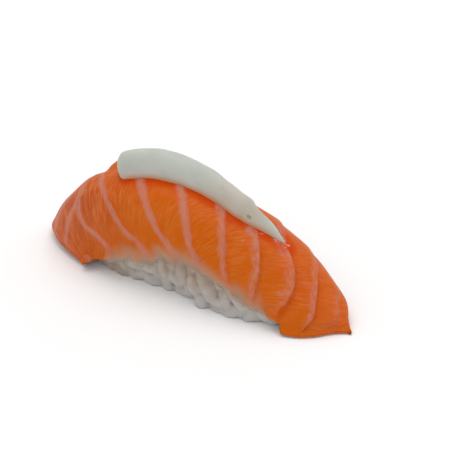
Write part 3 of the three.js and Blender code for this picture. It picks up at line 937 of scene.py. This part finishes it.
# %% The wet glints
GLINT = linear(236, 206, 186)
WET_UP = (0.7, 0.3)  # in v
WET_BLOTS = (0.4, 0.6)
BY_TIP = (3.0, 0.5)  # millimetres from the sauce
TIP_FROM = (0.6, 0.68)  # in u
CORNER_ALONG = (0.16, 0.1)  # in u
CORNER_DOWN = (0.5, 0.75)  # in v
FLECK_SIZE = 0.55 * MM
FLECK_SQUEEZE = 0.3  # along the fibres
FLECK_EDGE = (0.66, 0.78)
MORE_BY_TIP = 0.08
MORE_BY_CORNER = 0.03
GLINT_SHARE = 0.5
GLINT_ON_FAT = 0.25
GLINT_ON_WET = 0.5
GLINT_AT_CORNER = 0.5

wet = torn * nodes.ramp(ridge_v, *WET_UP) * nodes.ramp(blot, *WET_BLOTS)
by_tip = nodes.ramp(from_sauce_mm, *BY_TIP) * nodes.ramp(length_u, *TIP_FROM)
by_corner = nodes.ramp(length_u, *CORNER_ALONG) * nodes.ramp(ridge_v, *CORNER_DOWN)
dashed = nodes.vector("MULTIPLY", [wavy, (1, FLECK_SQUEEZE, 1)])
flecks = nodes.noise(dashed, FLECK_SIZE) + by_tip * MORE_BY_TIP + by_corner * MORE_BY_CORNER
where_wet = GLINT_ON_FAT * fat_share + wet * GLINT_ON_WET + by_tip + by_corner * GLINT_AT_CORNER
glint = nodes.ramp(flecks, *FLECK_EDGE) * where_wet
colour = nodes.mix(glint * GLINT_SHARE, colour, GLINT)
print("with the glints:", len(nodes.tree.nodes))

# %% [markdown]
# The curled corner gets a painted highlight: a pale ring in the colour of the fat, round the shoulder
# where its thin edge is turned up. The last few millimetres of the margin are as pale as the rice and fade
# to nothing at the very edge, so that no hard line divides the two. The shader lets light soak into the
# flesh, red light deepest, as it does in raw fish.

# %% The edge and the shader
MARGIN_RIM = linear(188, 170, 156)
RIM_BAND = (3.2, 1.2)  # millimetres from the edge
SOLID_FROM = (0.8, 3.4)  # the same, for how solid the flesh is
EDGE_SOLID_FROM = (0.1, 0.9)
# The curled corner's painted highlight: a pale ring on the shoulder of the curl
CURL_HIGHLIGHT_LOW = (0.05, 0.3)  # as shares of the curl's height
CURL_HIGHLIGHT_HIGH = (0.8, 0.4)
CURL_HIGHLIGHT_SHARE = 0.6
STREAK_RAISED = 0.4
GRAIN_RAISED = 0.25
FAT_RAISED = 0.8
BUMP_HEIGHT = 0.12 * MM

curled = nodes.attribute("curl")
# Painted highlight: a pale ring round the curl, in the fat's colour
curl_highlight = nodes.ramp(curled, *CURL_HIGHLIGHT_LOW) * nodes.ramp(curled, *CURL_HIGHLIGHT_HIGH)
colour = nodes.mix(curl_highlight * CURL_HIGHLIGHT_SHARE, colour, FAT)
colour = nodes.mix(nodes.ramp(edge_mm, *RIM_BAND), colour, MARGIN_RIM)
solid = nodes.ramp(edge_mm, *SOLID_FROM) * nodes.ramp(nodes.attribute("from_edge"), *EDGE_SOLID_FROM)
raised = streak * STREAK_RAISED + grain * GRAIN_RAISED + fat_share * FAT_RAISED
finish_material(
    nodes,
    Base_Color=colour,
    Roughness=0.4 + (grain - 0.5) * 0.2 + fat_share * 0.08,
    Alpha=solid,
    Normal=nodes.bump(raised, 0.5, BUMP_HEIGHT),
    Subsurface_Weight=0.35,
    Subsurface_Radius=(1.0, 0.32, 0.12),
    Subsurface_Scale=1.4 * MM,
    IOR=1.36,
    Specular_IOR_Level=0.04,
    Coat_Weight=0.02 + wet * 0.1,
    Coat_Roughness=0.2,
)
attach(salmon, "root")
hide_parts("salmon")
print("salmon material nodes:", len(nodes.tree.nodes))

# %% [markdown]
# ## The loaf of rice: its core
#
# Pressed rice is a few hundred whole grains round a middle that no one sees. Stacking real grains all the
# way through would cost much and show nothing. So there is one smooth core, shaped as the loaf and cut to
# the slice's underside, and real grains lie on its wall. To find where the slice cuts it, a ray is sent
# up from each place on the table until it meets the slice's underside.

# %% The loaf's wall
LOAF_MIDDLE = -2.4 * MM
LOAF_HALF_LENGTH = 31.3 * MM
LOAF_HALF_WIDTH = 10.8 * MM
SQUARENESS = 4  # 2 makes an oval plan, and more a squarer one
WAIST = 8 * MM  # height at which it is widest
TUCK = 0.06  # how much narrower it is at its foot
BELLY_PUSH = 0.36  # the near side is pushed out to the right of its middle
BELLY_RUN = (-6 * MM, 6 * MM)
BELLY_TOP = 14 * MM
LEAN_OUT = 0.17  # under the slice the sides stand out by this share, up to its edges
LEAN_RUN = (1 * MM, 8 * MM)  # the heights between which they lean out


def wall(angle, z):
    """Points of the loaf's wall, by the angle round it and the height."""
    swelling = 1 - TUCK * (np.maximum(WAIST - z, 0) / WAIST) ** 2
    c, s = np.cos(angle), np.sin(angle)
    x = LOAF_MIDDLE + LOAF_HALF_LENGTH * swelling * np.sign(c) * np.abs(c) ** (2 / SQUARENESS)
    y = LOAF_HALF_WIDTH * swelling * np.sign(s) * np.abs(s) ** (2 / SQUARENESS)
    belly = BELLY_PUSH * smooth(x, *BELLY_RUN) * np.maximum(0, 1 - z / BELLY_TOP)
    lean = LEAN_OUT * smooth(z, *LEAN_RUN)
    return np.stack([x, y * (1 + lean + np.where(y < 0, belly, 0)), z + 0 * x], 1)


print("loaf:", 2 * LOAF_HALF_LENGTH / MM, "by", 2 * LOAF_HALF_WIDTH / MM, "mm before its grains")

# %% How high the slice lies above each place
CONTACT_GAP = 0.15 * MM
COVER_COLUMNS = 120
COVER_ROWS = 60
COVER_SKIRT = 3 * MM  # the cover goes on level past each side edge, so that no rice climbs up outside it
UNDER_THE_TABLE = -5 * MM

cover_us = np.linspace(0, 1, COVER_COLUMNS)
cover = underside(*grid(cover_us, np.linspace(-1, 1, COVER_ROWS)), CONTACT_GAP)
cover = cover.reshape(COVER_COLUMNS, COVER_ROWS, 3)
sideways = unit((along(NEAR_EDGE, cover_us) - along(FAR_EDGE, cover_us)) * (1, 1, 0)) * COVER_SKIRT
cover = np.concatenate([cover[:, :1] + sideways[:, None], cover, cover[:, -1:] - sideways[:, None]], 1)
cover_quads = sheet_quads(COVER_COLUMNS, COVER_ROWS + 2)
cover_tree = BVHTree.FromPolygons(cover.reshape(-1, 3).tolist(), cover_quads.tolist())


def cover_height(point):
    """How high the slice's underside lies above this place on the table, or 0 where there is none."""
    hit = cover_tree.ray_cast(Vector((point[0], point[1], UNDER_THE_TABLE)), Vector((0, 0, 1)))[0]
    return hit.z if hit else 0.0


print("rice may rise to", round(cover_height((LOAF_MIDDLE, 0)) / MM, 1), "mm at the loaf's middle")

# %% Where the wall ends under the slice
CORE_ANGLES = 120
WALL_SAMPLES = 60
HIGHEST = 28 * MM
angles = np.linspace(0, 2 * math.pi, CORE_ANGLES, endpoint=False)


def wall_top(angle):
    """The height at which the wall meets the slice's underside."""
    heights = np.linspace(0, HIGHEST, WALL_SAMPLES)
    points = wall(np.full(WALL_SAMPLES, angle), heights)
    below = [z for z, point in zip(heights, points) if cover_height(point) > z]
    return max(below, default=0.0)


tops = np.array([wall_top(a) for a in angles])
print("wall heights in mm:", (tops.min() / MM).round(1), "to", (tops.max() / MM).round(1))

# %% The core's mesh
CORE_DEEP = 1.0 * MM  # how far inside the loaf's surface the core ends
WALL_ROWS = 12
CAP_ROWS = 14
centre = np.array([LOAF_MIDDLE, 0, 0])


def wall_rings(depth, foot, gap, rows):
    """Rings of points up the wall, this deep inside it, from a height to this gap below the slice."""
    rings = []
    for k in range(rows + 1):
        z = foot + (np.maximum(tops - gap, foot) - foot) * k / rows
        points = wall(angles, z)
        rings.append(points + unit((centre - points) * (1, 1, 0)) * depth)
    return rings


def cap_rings(edge, gap, shares):
    """Rings of points over the loaf's top, each this share of the way from its edge to its middle."""
    rings = []
    for share in shares:
        ring = edge * (1 - share) + centre * share
        ring[:, 2] = [cover_height(point) - gap for point in ring]
        rings.append(ring)
    return rings


def ring_numbers(k):
    return k * CORE_ANGLES + np.arange(CORE_ANGLES)


def skin(rings):
    """Faces that join each ring of the core's angles to the next one up."""
    bands = [quads_between(ring_numbers(k), ring_numbers(k + 1)) for k in range(rings - 1)]
    return np.concatenate(bands)[:, ::-1]


def fan(hub, ring):
    """Triangles that close a ring round one point."""
    return [(hub, int(a), int(b)) for a, b in zip(ring, np.roll(ring, -1))]


rings = wall_rings(CORE_DEEP, 0.0, CORE_DEEP, WALL_ROWS)
rings += cap_rings(rings[-1], CORE_DEEP, np.arange(1, CAP_ROWS) / CAP_ROWS)
hubs = [centre * (1, 1, 0), (*centre[:2], cover_height(centre) - CORE_DEEP)]
core_points = np.concatenate([*rings, hubs]) + SHIFT
foot_hub = len(core_points) - 2
top_hub = len(core_points) - 1
foot_ring = ring_numbers(0)
top_ring = ring_numbers(len(rings) - 1)
core_faces = [*skin(len(rings)).tolist(), *fan(foot_hub, foot_ring[::-1]), *fan(top_hub, top_ring)]
rice_white, rice_nodes = new_material("cooked_rice")
core = new_piece("rice_loaf", core_points, core_faces, rice_white)
print("core faces:", len(core_faces))

# %% [markdown]
# ## The loaf of rice: its grains
#
# Placing a few hundred grains by hand is out of the question, and a particle system would be lost on
# export. Geometry Nodes suit it well: one tree makes a grain, scatters points on the wall at least a set
# distance apart, lays a grain on each at a random turn, and makes them all real at the end. Two runs of
# the same tree make two layers, so that a gap between the outer grains shows more grains and not a bare
# wall.

# %% The surface that the grains are laid on
SEAT_TOP_GAP = 0.9 * MM  # below the slice
SEAT_FOOT = 0.7 * MM
SEAT_ROWS = 14
SHOULDER = (0.12, 0.24, 0.36)  # the grains also lie on the outer part of the top, where the slice thins out


def seat_surface(name, depth):
    """An open band up the wall and over its shoulder, this deep inside the loaf."""
    rings = wall_rings(depth, SEAT_FOOT, SEAT_TOP_GAP, SEAT_ROWS)
    rings += cap_rings(rings[-1], SEAT_TOP_GAP, SHOULDER)
    return new_piece(name, np.concatenate(rings) + SHIFT, skin(len(rings)), rice_white)


print("grains lie from", SEAT_FOOT / MM, "mm up to", SEAT_TOP_GAP / MM, "mm below the slice")

# %% The tree and its inputs
tree = bpy.data.node_groups.new("grains", "GeometryNodeTree")
inputs = {
    "Wall": "NodeSocketGeometry", "Length": "NodeSocketFloat", "Width": "NodeSocketFloat",
    "Thickness": "NodeSocketFloat", "Spacing": "NodeSocketFloat", "Seed": "NodeSocketInt",
    "Material": "NodeSocketMaterial",
}
for name, kind in inputs.items():
    tree.interface.new_socket(name, in_out="INPUT", socket_type=kind)
tree.interface.new_socket("Grains", in_out="OUTPUT", socket_type="NodeSocketGeometry")
nodes = Nodes(tree)
given = nodes.tree.nodes.new("NodeGroupInput")


def wanted(name):
    """One of the tree's inputs, to be used inside it."""
    return Socket(nodes, given.outputs[name])


print("tree inputs:", ", ".join(inputs))

# %% One grain
GRAIN_SIDES = 10
GRAIN_RINGS = 6
GRAIN_PLUMP = 0.4  # fuller towards its ends than an egg
GRAIN_BEND = 0.1

ball_sockets = {"Segments": GRAIN_SIDES, "Rings": GRAIN_RINGS, "Radius": 0.5}
ball = nodes.add("GeometryNodeMeshUVSphere", None, ball_sockets)
position = nodes.add("GeometryNodeInputPosition")
across = nodes.add("ShaderNodeSeparateXYZ", None, [position])
deep, lengthwise = across.sibling("Y"), across.sibling("Z")
fullness = 1 + lengthwise * lengthwise * (4 * GRAIN_PLUMP)
bent = deep * fullness - lengthwise * lengthwise * (4 * GRAIN_BEND)
shaped = nodes.add("ShaderNodeCombineXYZ", None, [lengthwise, across * fullness, bent])
sizes = nodes.add("ShaderNodeCombineXYZ", None, [wanted("Length"), wanted("Width"), wanted("Thickness")])
to_size = nodes.vector("MULTIPLY", [shaped, sizes])
grain = nodes.add("GeometryNodeSetPosition", None, {"Geometry": ball, "Position": to_size})
grain = nodes.add("GeometryNodeSetShadeSmooth", None, [grain])
print("a grain has", GRAIN_SIDES * GRAIN_RINGS, "faces")

# %% Lay it on the wall
GRAIN_UNEVEN = 0.14  # how much larger or smaller than its size a grain may be, as a share
GRAIN_TILT = 0.2  # radians out of the wall, at most
SEATS_TRIED = 1e6  # places tried on a square metre, before those too close together are dropped

seat_sockets = {
    "Mesh": wanted("Wall"), "Distance Min": wanted("Spacing"),
    "Density Max": SEATS_TRIED, "Seed": wanted("Seed"),
}
seats = nodes.add("GeometryNodeDistributePointsOnFaces", {"distribute_method": "POISSON"}, seat_sockets)
upright = seats.sibling("Rotation")


def random_vector(low, high, offset):
    """A random vector for each grain; another offset draws other values."""
    seed = wanted("Seed") + offset
    sockets = {"Min": low, "Max": high, "Seed": seed}
    return nodes.add("FunctionNodeRandomValue", {"data_type": "FLOAT_VECTOR"}, sockets)


turn = random_vector((-GRAIN_TILT, -GRAIN_TILT, 0), (GRAIN_TILT, GRAIN_TILT, 2 * math.pi), 1)
turned = nodes.add("FunctionNodeRotateRotation", {"rotation_space": "LOCAL"}, [upright, turn])
size = random_vector((1 - GRAIN_UNEVEN,) * 3, (1 + GRAIN_UNEVEN,) * 3, 2)
laid = nodes.add(
    "GeometryNodeInstanceOnPoints", None,
    {"Points": seats, "Instance": grain, "Rotation": turned, "Scale": size},
)
real = nodes.add("GeometryNodeRealizeInstances", None, [laid])
finished = nodes.add("GeometryNodeSetMaterial", None, {"Geometry": real, "Material": wanted("Material")})
nodes.add("NodeGroupOutput", None, [finished])
print("nodes in the tree:", len(tree.nodes))

# %% Run the tree for each layer
GRAIN_LENGTH = 6.6 * MM
GRAIN_WIDTH = 3.3 * MM
GRAIN_THICKNESS = 2.4 * MM
LAYERS = [  # how deep in the wall, how far apart, and the seed
    (0.5 * MM, 4.0 * MM, 4),
    (1.2 * MM, 3.0 * MM, 12),
]


def run_tree(seat, material, spacing, seed):
    """The mesh that the tree makes on this seat."""
    modifier = seat.modifiers.new("grains", "NODES")
    modifier.node_group = tree
    values = {
        "Length": GRAIN_LENGTH, "Width": GRAIN_WIDTH, "Thickness": GRAIN_THICKNESS,
        "Spacing": spacing, "Seed": seed, "Material": material,
    }
    for item in tree.interface.items_tree:
        if item.name in values:
            modifier[item.identifier] = values[item.name]
    evaluated = seat.evaluated_get(bpy.context.evaluated_depsgraph_get())
    return bpy.data.meshes.new_from_object(evaluated)


def press_in(mesh):
    """Flattens what would reach through the table or into the slice."""
    for vertex in mesh.vertices:
        lid = cover_height(np.array(vertex.co) - SHIFT)
        vertex.co.z = max(0.0, min(vertex.co.z, lid) if lid else vertex.co.z)


loaf = bmesh.new()
loaf.from_mesh(core.data)
for depth, spacing, seed in LAYERS:
    seat = seat_surface("seat", depth)
    layer = run_tree(seat, rice_white, spacing, seed)
    loaf.from_mesh(layer)
    bpy.data.objects.remove(seat)
    print("layer", round(depth / MM, 1), "mm deep:", len(layer.polygons), "faces")
loaf.to_mesh(core.data)
loaf.free()
press_in(core.data)

# %% [markdown]
# Cooked grains stick: where two touch, starch fills the crease between them. The Remesh modifier melts
# the grains and the core into one skin with soft creases, and a light smoothing rounds them. Each point
# keeps how hollow the skin is there, so that the material can paint shade into the creases, darker and
# browner than a grain's back.

# %% Melt the grains together
CREASE = 0.3 * MM
SOFTENING = 3
SOFTENING_FACTOR = 0.5
HOLLOW_SPREAD = 4  # rounds in which the hollow values are evened out


def apply_modifiers(piece):
    """Replaces the piece's mesh by what its modifiers make of it."""
    evaluated = piece.evaluated_get(bpy.context.evaluated_depsgraph_get())
    mesh = bpy.data.meshes.new_from_object(evaluated)
    piece.modifiers.clear()
    piece.data = mesh


def neighbour_mean(mesh, values):
    """The mean of each point's neighbours, for one value a point or one row a point."""
    ends = np.zeros(2 * len(mesh.edges), int)
    mesh.edges.foreach_get("vertices", ends)
    first, second = ends.reshape(-1, 2).T
    total = np.zeros_like(values)
    np.add.at(total, first, values[second])
    np.add.at(total, second, values[first])
    count = np.bincount(ends, minlength=len(values))
    return total / count.reshape(-1, *[1] * (values.ndim - 1))


def hollows(mesh):
    """How hollow the skin is at each point: above 0 in a crease, below 0 on a grain's back."""
    flat = np.zeros(3 * len(mesh.vertices))
    mesh.vertices.foreach_get("co", flat)
    points = flat.reshape(-1, 3)
    normals = np.array([vertex.normal for vertex in mesh.vertices])
    hollow = ((neighbour_mean(mesh, points) - points) * normals).sum(1) / CREASE
    for _ in range(HOLLOW_SPREAD):
        hollow = neighbour_mean(mesh, hollow)
    return hollow


melt = core.modifiers.new("melt", "REMESH")
melt.mode = "VOXEL"
melt.voxel_size = CREASE
melt.use_smooth_shade = True
soften = core.modifiers.new("soften", "SMOOTH")
soften.iterations = SOFTENING
soften.factor = SOFTENING_FACTOR
apply_modifiers(core)
for vertex in core.data.vertices:
    vertex.co.z = max(0.0, vertex.co.z)  # the melted foot still stands on the table
hollow = hollows(core.data)
give(core.data, "hollow", hollow)
print("rice triangles:", sum(len(p.vertices) - 2 for p in core.data.polygons))
print("hollows:", np.percentile(hollow, [5, 50, 95]).round(3))

# %% [markdown]
# ## Lay the slice's margin on the grains
#
# Raw fish is soft, so the thin margin of the slice sinks and rises over the grains under it, and no gap
# shows between the two. A ray from outside finds how high the rice lies under each point of the margin.
# The margin is moved there, and its moves are evened out, because the fish is too stiff to go down into
# each crease.

# %% Lay the margin on the grains
PROBE = 3 * MM  # the rays start this far outside the slice
MARGIN_FROM = (0.6, 0.9)  # in v: from here outward the slice follows the rice
MARGIN_SINK = -0.9 * MM  # at most
MARGIN_RISE = 2.5 * MM
MARGIN_GAP = 0.05 * MM
MARGIN_STIFF = 6  # rounds of evening that keep it out of the creases
MARGIN_SMOOTH = 2  # rounds that round it off afterwards


def evened(values, rounds):
    """Grid values, each averaged with its neighbours along and across the slice, so many times."""
    for _ in range(rounds):
        for axis in (0, 1):
            padded = np.concatenate([values.take([0], axis), values, values.take([-1], axis)], axis)
            count = values.shape[axis]
            before, after = (padded.take(np.arange(count) + step, axis) for step in (0, 2))
            values = (before + 2 * values + after) / 4
    return values


def resampled(values, old_u, new_u):
    """Grid values, read row by row at other places along the slice."""
    return np.stack([np.interp(new_u[:, r], old_u[:, r], values[:, r]) for r in range(ROWS)], 1)


def rice_under(point, outward):
    """How far outside the slice's top the rice comes at this point, or nothing where there is none."""
    start = Vector(point + outward * PROBE)
    hit = rice_tree.ray_cast(start, Vector(-outward), 2 * PROBE)
    return PROBE - hit[3] if hit[0] else None


rice_points = [vertex.co for vertex in core.data.vertices]
rice_tree = BVHTree.FromPolygons(rice_points, [face.vertices for face in core.data.polygons])
moves = np.zeros(len(u))
depths = thickness(u, v)
for i in np.flatnonzero(np.abs(v) > MARGIN_FROM[0]):
    rice = rice_under(salmon_points[i], out[i])
    if rice is not None:
        moves[i] = np.clip(rice + depths[i] + MARGIN_GAP, MARGIN_SINK, MARGIN_RISE)
print("margin points over rice:", np.count_nonzero(moves))
moves = (moves * smooth(np.abs(v), *MARGIN_FROM)).reshape(COLUMNS, ROWS)

# %% [markdown]
# The mesh's columns crowd together where flakes are narrow, and evening the moves from column to column
# would do less there. So the moves are read off at even steps along the slice, evened, and read back.

# %% Even the moves and bend the slice
mesh_u = u.reshape(COLUMNS, ROWS)
even_u = np.linspace(0, 1, COLUMNS)[:, None] + 0 * mesh_u
moves = resampled(moves, mesh_u, even_u)
moves = evened(np.maximum(moves, evened(moves, MARGIN_STIFF)), MARGIN_SMOOTH)
soft_moves = resampled(moves, even_u, mesh_u).ravel()
laid_points = salmon_points + spread_to_all(out * soft_moves[:, None])
salmon.data.vertices.foreach_set("co", above_floor(laid_points).ravel())
salmon.data.update()
print("margin moved by", (soft_moves.min() / MM).round(2), "to", (soft_moves.max() / MM).round(2), "mm")

# %% [markdown]
# ## The loaf of rice: its finish
#
# Cooked rice is a little see-through, so light soaks into it and comes out again, and its shadows are
# soft. That is what the subsurface sockets are for, and a plain white paint would look like plaster. It
# is painted whitest low down, as painted light where it lies open to the light, and darker and warmer up
# by the salmon, as painted shade. It is also warmer at the left end, and darker and browner in its
# creases, as painted shade.

# %% Cooked rice
RICE = linear(159, 139, 123)
# painted light low down, where the rice lies open to the light
RICE_LIT = linear(180, 175, 170)
# painted shade in the creases
RICE_CREASE_SHADE = linear(152, 126, 98)
PATCH_SIZE = 3 * MM
FINE_SIZE = 0.7 * MM
# Painted light below the first height, painted shade above the second
LIT_BELOW = 2 * MM  # the height up to which it is whitest
SHADED_ABOVE = 10 * MM
PATCH_SHIFT = 6 * MM  # by this much the patches move those heights
LEFT_END = (-8 * MM, -18 * MM)  # warmer from the first to the second, along X
LEFT_SHARE = 0.8
CREASE_SHADE_HOLLOW = (0.02, 0.1)
CREASE_PATCHES = 0.08  # by this much the patches move those values
CREASE_SHADE_SHARE = 0.6
GRAIN_BUMP = 0.1 * MM

place = rice_nodes.place()
patch = rice_nodes.noise(place, PATCH_SIZE)
fine = rice_nodes.noise(place, FINE_SIZE, 3.0)
up = rice_nodes.add("ShaderNodeSeparateXYZ", None, [place], "Z")
height_above = up + (patch - 0.5) * PATCH_SHIFT
# Painted light low down and painted shade up by the salmon
colour = rice_nodes.mix(rice_nodes.ramp(height_above, SHADED_ABOVE, LIT_BELOW), RICE, RICE_LIT)
left_end = rice_nodes.ramp(up.sibling("X"), *LEFT_END)
colour = rice_nodes.mix(left_end * LEFT_SHARE, colour, RICE)
# Painted shade in the creases: darker and browner where the skin is hollow
hollow_here = rice_nodes.attribute("hollow") + (patch - 0.5) * CREASE_PATCHES
crease_shade = rice_nodes.ramp(hollow_here, *CREASE_SHADE_HOLLOW)
colour = rice_nodes.mix(crease_shade * CREASE_SHADE_SHARE, colour, RICE_CREASE_SHADE)
finish_material(
    rice_nodes,
    Base_Color=colour,
    Roughness=0.42 + (fine - 0.5) * 0.2,
    Normal=rice_nodes.bump(fine, 0.25, GRAIN_BUMP),
    Subsurface_Weight=0.8,
    Subsurface_Radius=(1.0, 0.9, 0.75),
    Subsurface_Scale=3.0 * MM,
    IOR=1.38,
    Specular_IOR_Level=0.3,
)
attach(core, "root")
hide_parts("rice")
print("rice material nodes:", len(rice_nodes.tree.nodes))

# %% [markdown]
# ## The bead of sauce
#
# The sauce was laid on in one stroke, so it is blunt where it began and drawn out to a point where it
# ended. A curve with a bevel would give a round pipe that floats on the slice. This is a row of arches
# instead, each standing on the slice's own surface, so the bead takes the slice's bends and sits flat on
# it. The first few arches grow quickly and close its blunt end with a dome.

# %% The bead's rings
BEAD_HEIGHT = 1.45  # times its half width
BEAD_POWER = 1.2  # the lower, the squarer its shoulders
BEAD_OVER = 44  # points over its top
BEAD_UNDER = 10  # points along its foot, both corners counted


def bead_rings():
    """The bead ring by ring, over the top from far to near and back along the slice, as u, v and height."""
    over = np.linspace(0, math.pi, BEAD_OVER)
    under = np.linspace(-1, 1, BEAD_UNDER)[1:-1]
    sideways = np.concatenate([np.cos(over), under])
    rise = np.concatenate([np.maximum(np.sin(over), 0) ** BEAD_POWER, 0 * under])
    lengthwise = np.clip(stroke[:, :1], 0, 1) + 0 * sideways
    v = (stroke[:, 2:] + stroke[:, 1:2] * sideways) * MM / CROWN_WIDTH
    height = stroke[:, 1:2] * rise * MM * BEAD_HEIGHT
    return [values.ravel() for values in (lengthwise, v, height)], sideways


(lengthwise, bead_v, height), sideways = bead_rings()
BEAD_ROUND = len(sideways)
print("bead rings:", BEAD_RINGS, "of", BEAD_ROUND, "points")

# %% [markdown]
# A soft sauce is never quite even, and tiny bubbles burst in it and leave pits. Both are small moves of
# the points in or out, away from the middle of their ring, so they are real shape and show from every
# side.

# %% Set it on the slice, uneven and pitted
BEAD_SUNK = 0.35 * MM
BEAD_SWELL = 0.16 * MM
BEAD_SWELL_LENGTH = 3.5 * MM
PITS = [  # how far along the bead, how far across it from -1 to 1, and the radius in millimetres
    (0.6, -0.5, 0.4), (0.785, -0.78, 0.65), (0.776, -0.78, 0.65), (0.71, 0.3, 0.25), (0.83, 0.1, 0.3),
]
PIT_DEPTH = 0.35  # times its radius
NOWHERE = 9.0  # a place across the bead that no pit has, for the points of its foot


def pits(points, lengthwise, sideways):
    """How deep in a pit each point is, in millimetres."""
    depth = 0 * lengthwise
    for at, across, radius in PITS:
        middle = np.argmin(np.abs(lengthwise - at) + np.abs(sideways - across))
        gap = np.linalg.norm(points - points[middle], axis=1) / (radius * MM)
        depth = np.maximum(depth, radius * PIT_DEPTH * smooth(1 - gap, 0, 1))
    return depth


bead_u = BEAD_FROM + (BEAD_TO - BEAD_FROM) * lengthwise
bead_points = top(bead_u, bead_v) + facing(bead_u, bead_v) * (height - BEAD_SUNK)[:, None]
bead_middle = bead_points.reshape(BEAD_RINGS, BEAD_ROUND, 3).mean(1).repeat(BEAD_ROUND, 0)
uneven = np.array([noise.noise(Vector(p / BEAD_SWELL_LENGTH)) for p in bead_points]) * BEAD_SWELL
over_ring = np.concatenate([sideways[:BEAD_OVER], np.full(BEAD_ROUND - BEAD_OVER, NOWHERE)])
pit = pits(bead_points, lengthwise, np.tile(over_ring, BEAD_RINGS))
bead_points = bead_points + unit(bead_points - bead_middle) * (uneven - pit * MM)[:, None]
print("deepest pit in mm:", pit.max().round(2))

# %% Close its two ends
bead_numbers = np.arange(len(bead_points)).reshape(BEAD_RINGS, BEAD_ROUND)
bead_faces = np.concatenate([quads_between(a, b) for a, b in zip(bead_numbers, bead_numbers[1:])]).tolist()
hubs = [len(bead_points), len(bead_points) + 1]
bead_faces += fan(hubs[0], bead_numbers[0][::-1]) + fan(hubs[1], bead_numbers[-1])
ends = [bead_points[bead_numbers[0]].mean(0), bead_points[bead_numbers[-1]].mean(0)]
bead_points = np.vstack([bead_points, *ends]) + SHIFT
print("bead faces:", len(bead_faces))

# %% [markdown]
# ## The bead of sauce: its finish
#
# The sauce is smooth and satin, and off-white with a touch of green. Where it is thin, low on its sides
# and towards its drawn-out end, the orange of the fish shows through it, and the fish throws its orange
# light onto it. Real depth in the shader could do that, but slowly and with little control, so a warm
# tint, painted light from the fish, follows the height over the slice.

# %% White sauce
SAUCE = linear(180, 184, 175)
SAUCE_WHITE = linear(188, 191, 183)
# painted light from the fish, thrown onto the sauce low on its sides and where it is thin
SAUCE_FISH_LIGHT = linear(204, 142, 92)
# painted shade in the pits
SAUCE_PIT_SHADE = linear(158, 138, 104)
SAUCE_PATCH_SIZE = 5 * MM
SAUCE_PATCH_EDGE = (0.3, 0.7)
SAUCE_FINE_SIZE = 0.9 * MM
LOW_SIDE = (2.0, 0.2)  # millimetres over the slice
LOW_UNEVEN = 0.4  # millimetres by which the fine noise shifts that
BLUNT_END = (0.02, 0.08)  # how far along the bead: no tint right at its ends
DRAWN_END = (1.0, 0.85)
TINT_LOW = 0.75
THIN_FROM = (0.45, 0.65)
THIN_TO = (0.92, 0.8)
TINT_DRAWN_THIN = 0.16
PIT_DEEP = (0.02, 0.12)  # millimetres
PIT_SHADE_SHARE = 0.7
SAUCE_BUMP = 0.1 * MM

sauce_white, nodes = new_material("white_sauce")
place = nodes.place()
patch = nodes.noise(place, SAUCE_PATCH_SIZE)
fine = nodes.noise(place, SAUCE_FINE_SIZE, 3.0)
colour = nodes.mix(nodes.ramp(patch, *SAUCE_PATCH_EDGE), SAUCE, SAUCE_WHITE)
over_slice = nodes.attribute("over_slice") + (fine - 0.5) * LOW_UNEVEN
along_bead = nodes.attribute("along_bead")
between_ends = nodes.ramp(along_bead, *DRAWN_END) * nodes.ramp(along_bead, *BLUNT_END)
low_side = nodes.ramp(over_slice, *LOW_SIDE) * between_ends
drawn_thin = nodes.ramp(along_bead, *THIN_FROM) * nodes.ramp(along_bead, *THIN_TO)
# Painted light from the fish: warm where the sauce is low and thin
colour = nodes.mix(low_side * TINT_LOW + drawn_thin * TINT_DRAWN_THIN, colour, SAUCE_FISH_LIGHT)
# Painted shade in the pits, darker and browner
pit_shade = nodes.ramp(nodes.attribute("pit"), *PIT_DEEP)
colour = nodes.mix(pit_shade * PIT_SHADE_SHARE, colour, SAUCE_PIT_SHADE)
finish_material(
    nodes,
    Base_Color=colour,
    Roughness=0.42 + (fine - 0.5) * 0.12,
    Normal=nodes.bump(fine, 0.15, SAUCE_BUMP),
    Subsurface_Weight=0.5,
    Subsurface_Radius=(1.0, 0.85, 0.6),
    Subsurface_Scale=1.5 * MM,
    IOR=1.4,
    Specular_IOR_Level=0.2,
)
print("sauce material nodes:", len(nodes.tree.nodes))

# %% The bead as a piece
bead = new_piece("sauce_bead", bead_points, bead_faces, sauce_white)
give(bead.data, "over_slice", np.append(height / MM, [0, 0]))
give(bead.data, "along_bead", np.append(lengthwise, [0, 1]))
give(bead.data, "pit", np.append(pit, [0, 0]))
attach(bead, "root")
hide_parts("cream_strip")
print("sauce triangles:", sum(len(p.vertices) - 2 for p in bead.data.polygons))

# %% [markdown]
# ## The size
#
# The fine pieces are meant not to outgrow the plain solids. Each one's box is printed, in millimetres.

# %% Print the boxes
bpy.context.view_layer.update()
for piece in (salmon, core, bead):
    corners = np.array([v.co for v in piece.data.vertices]) / MM
    print(piece.name, "from", corners.min(0).round(1), "to", corners.max(0).round(1), "mm")
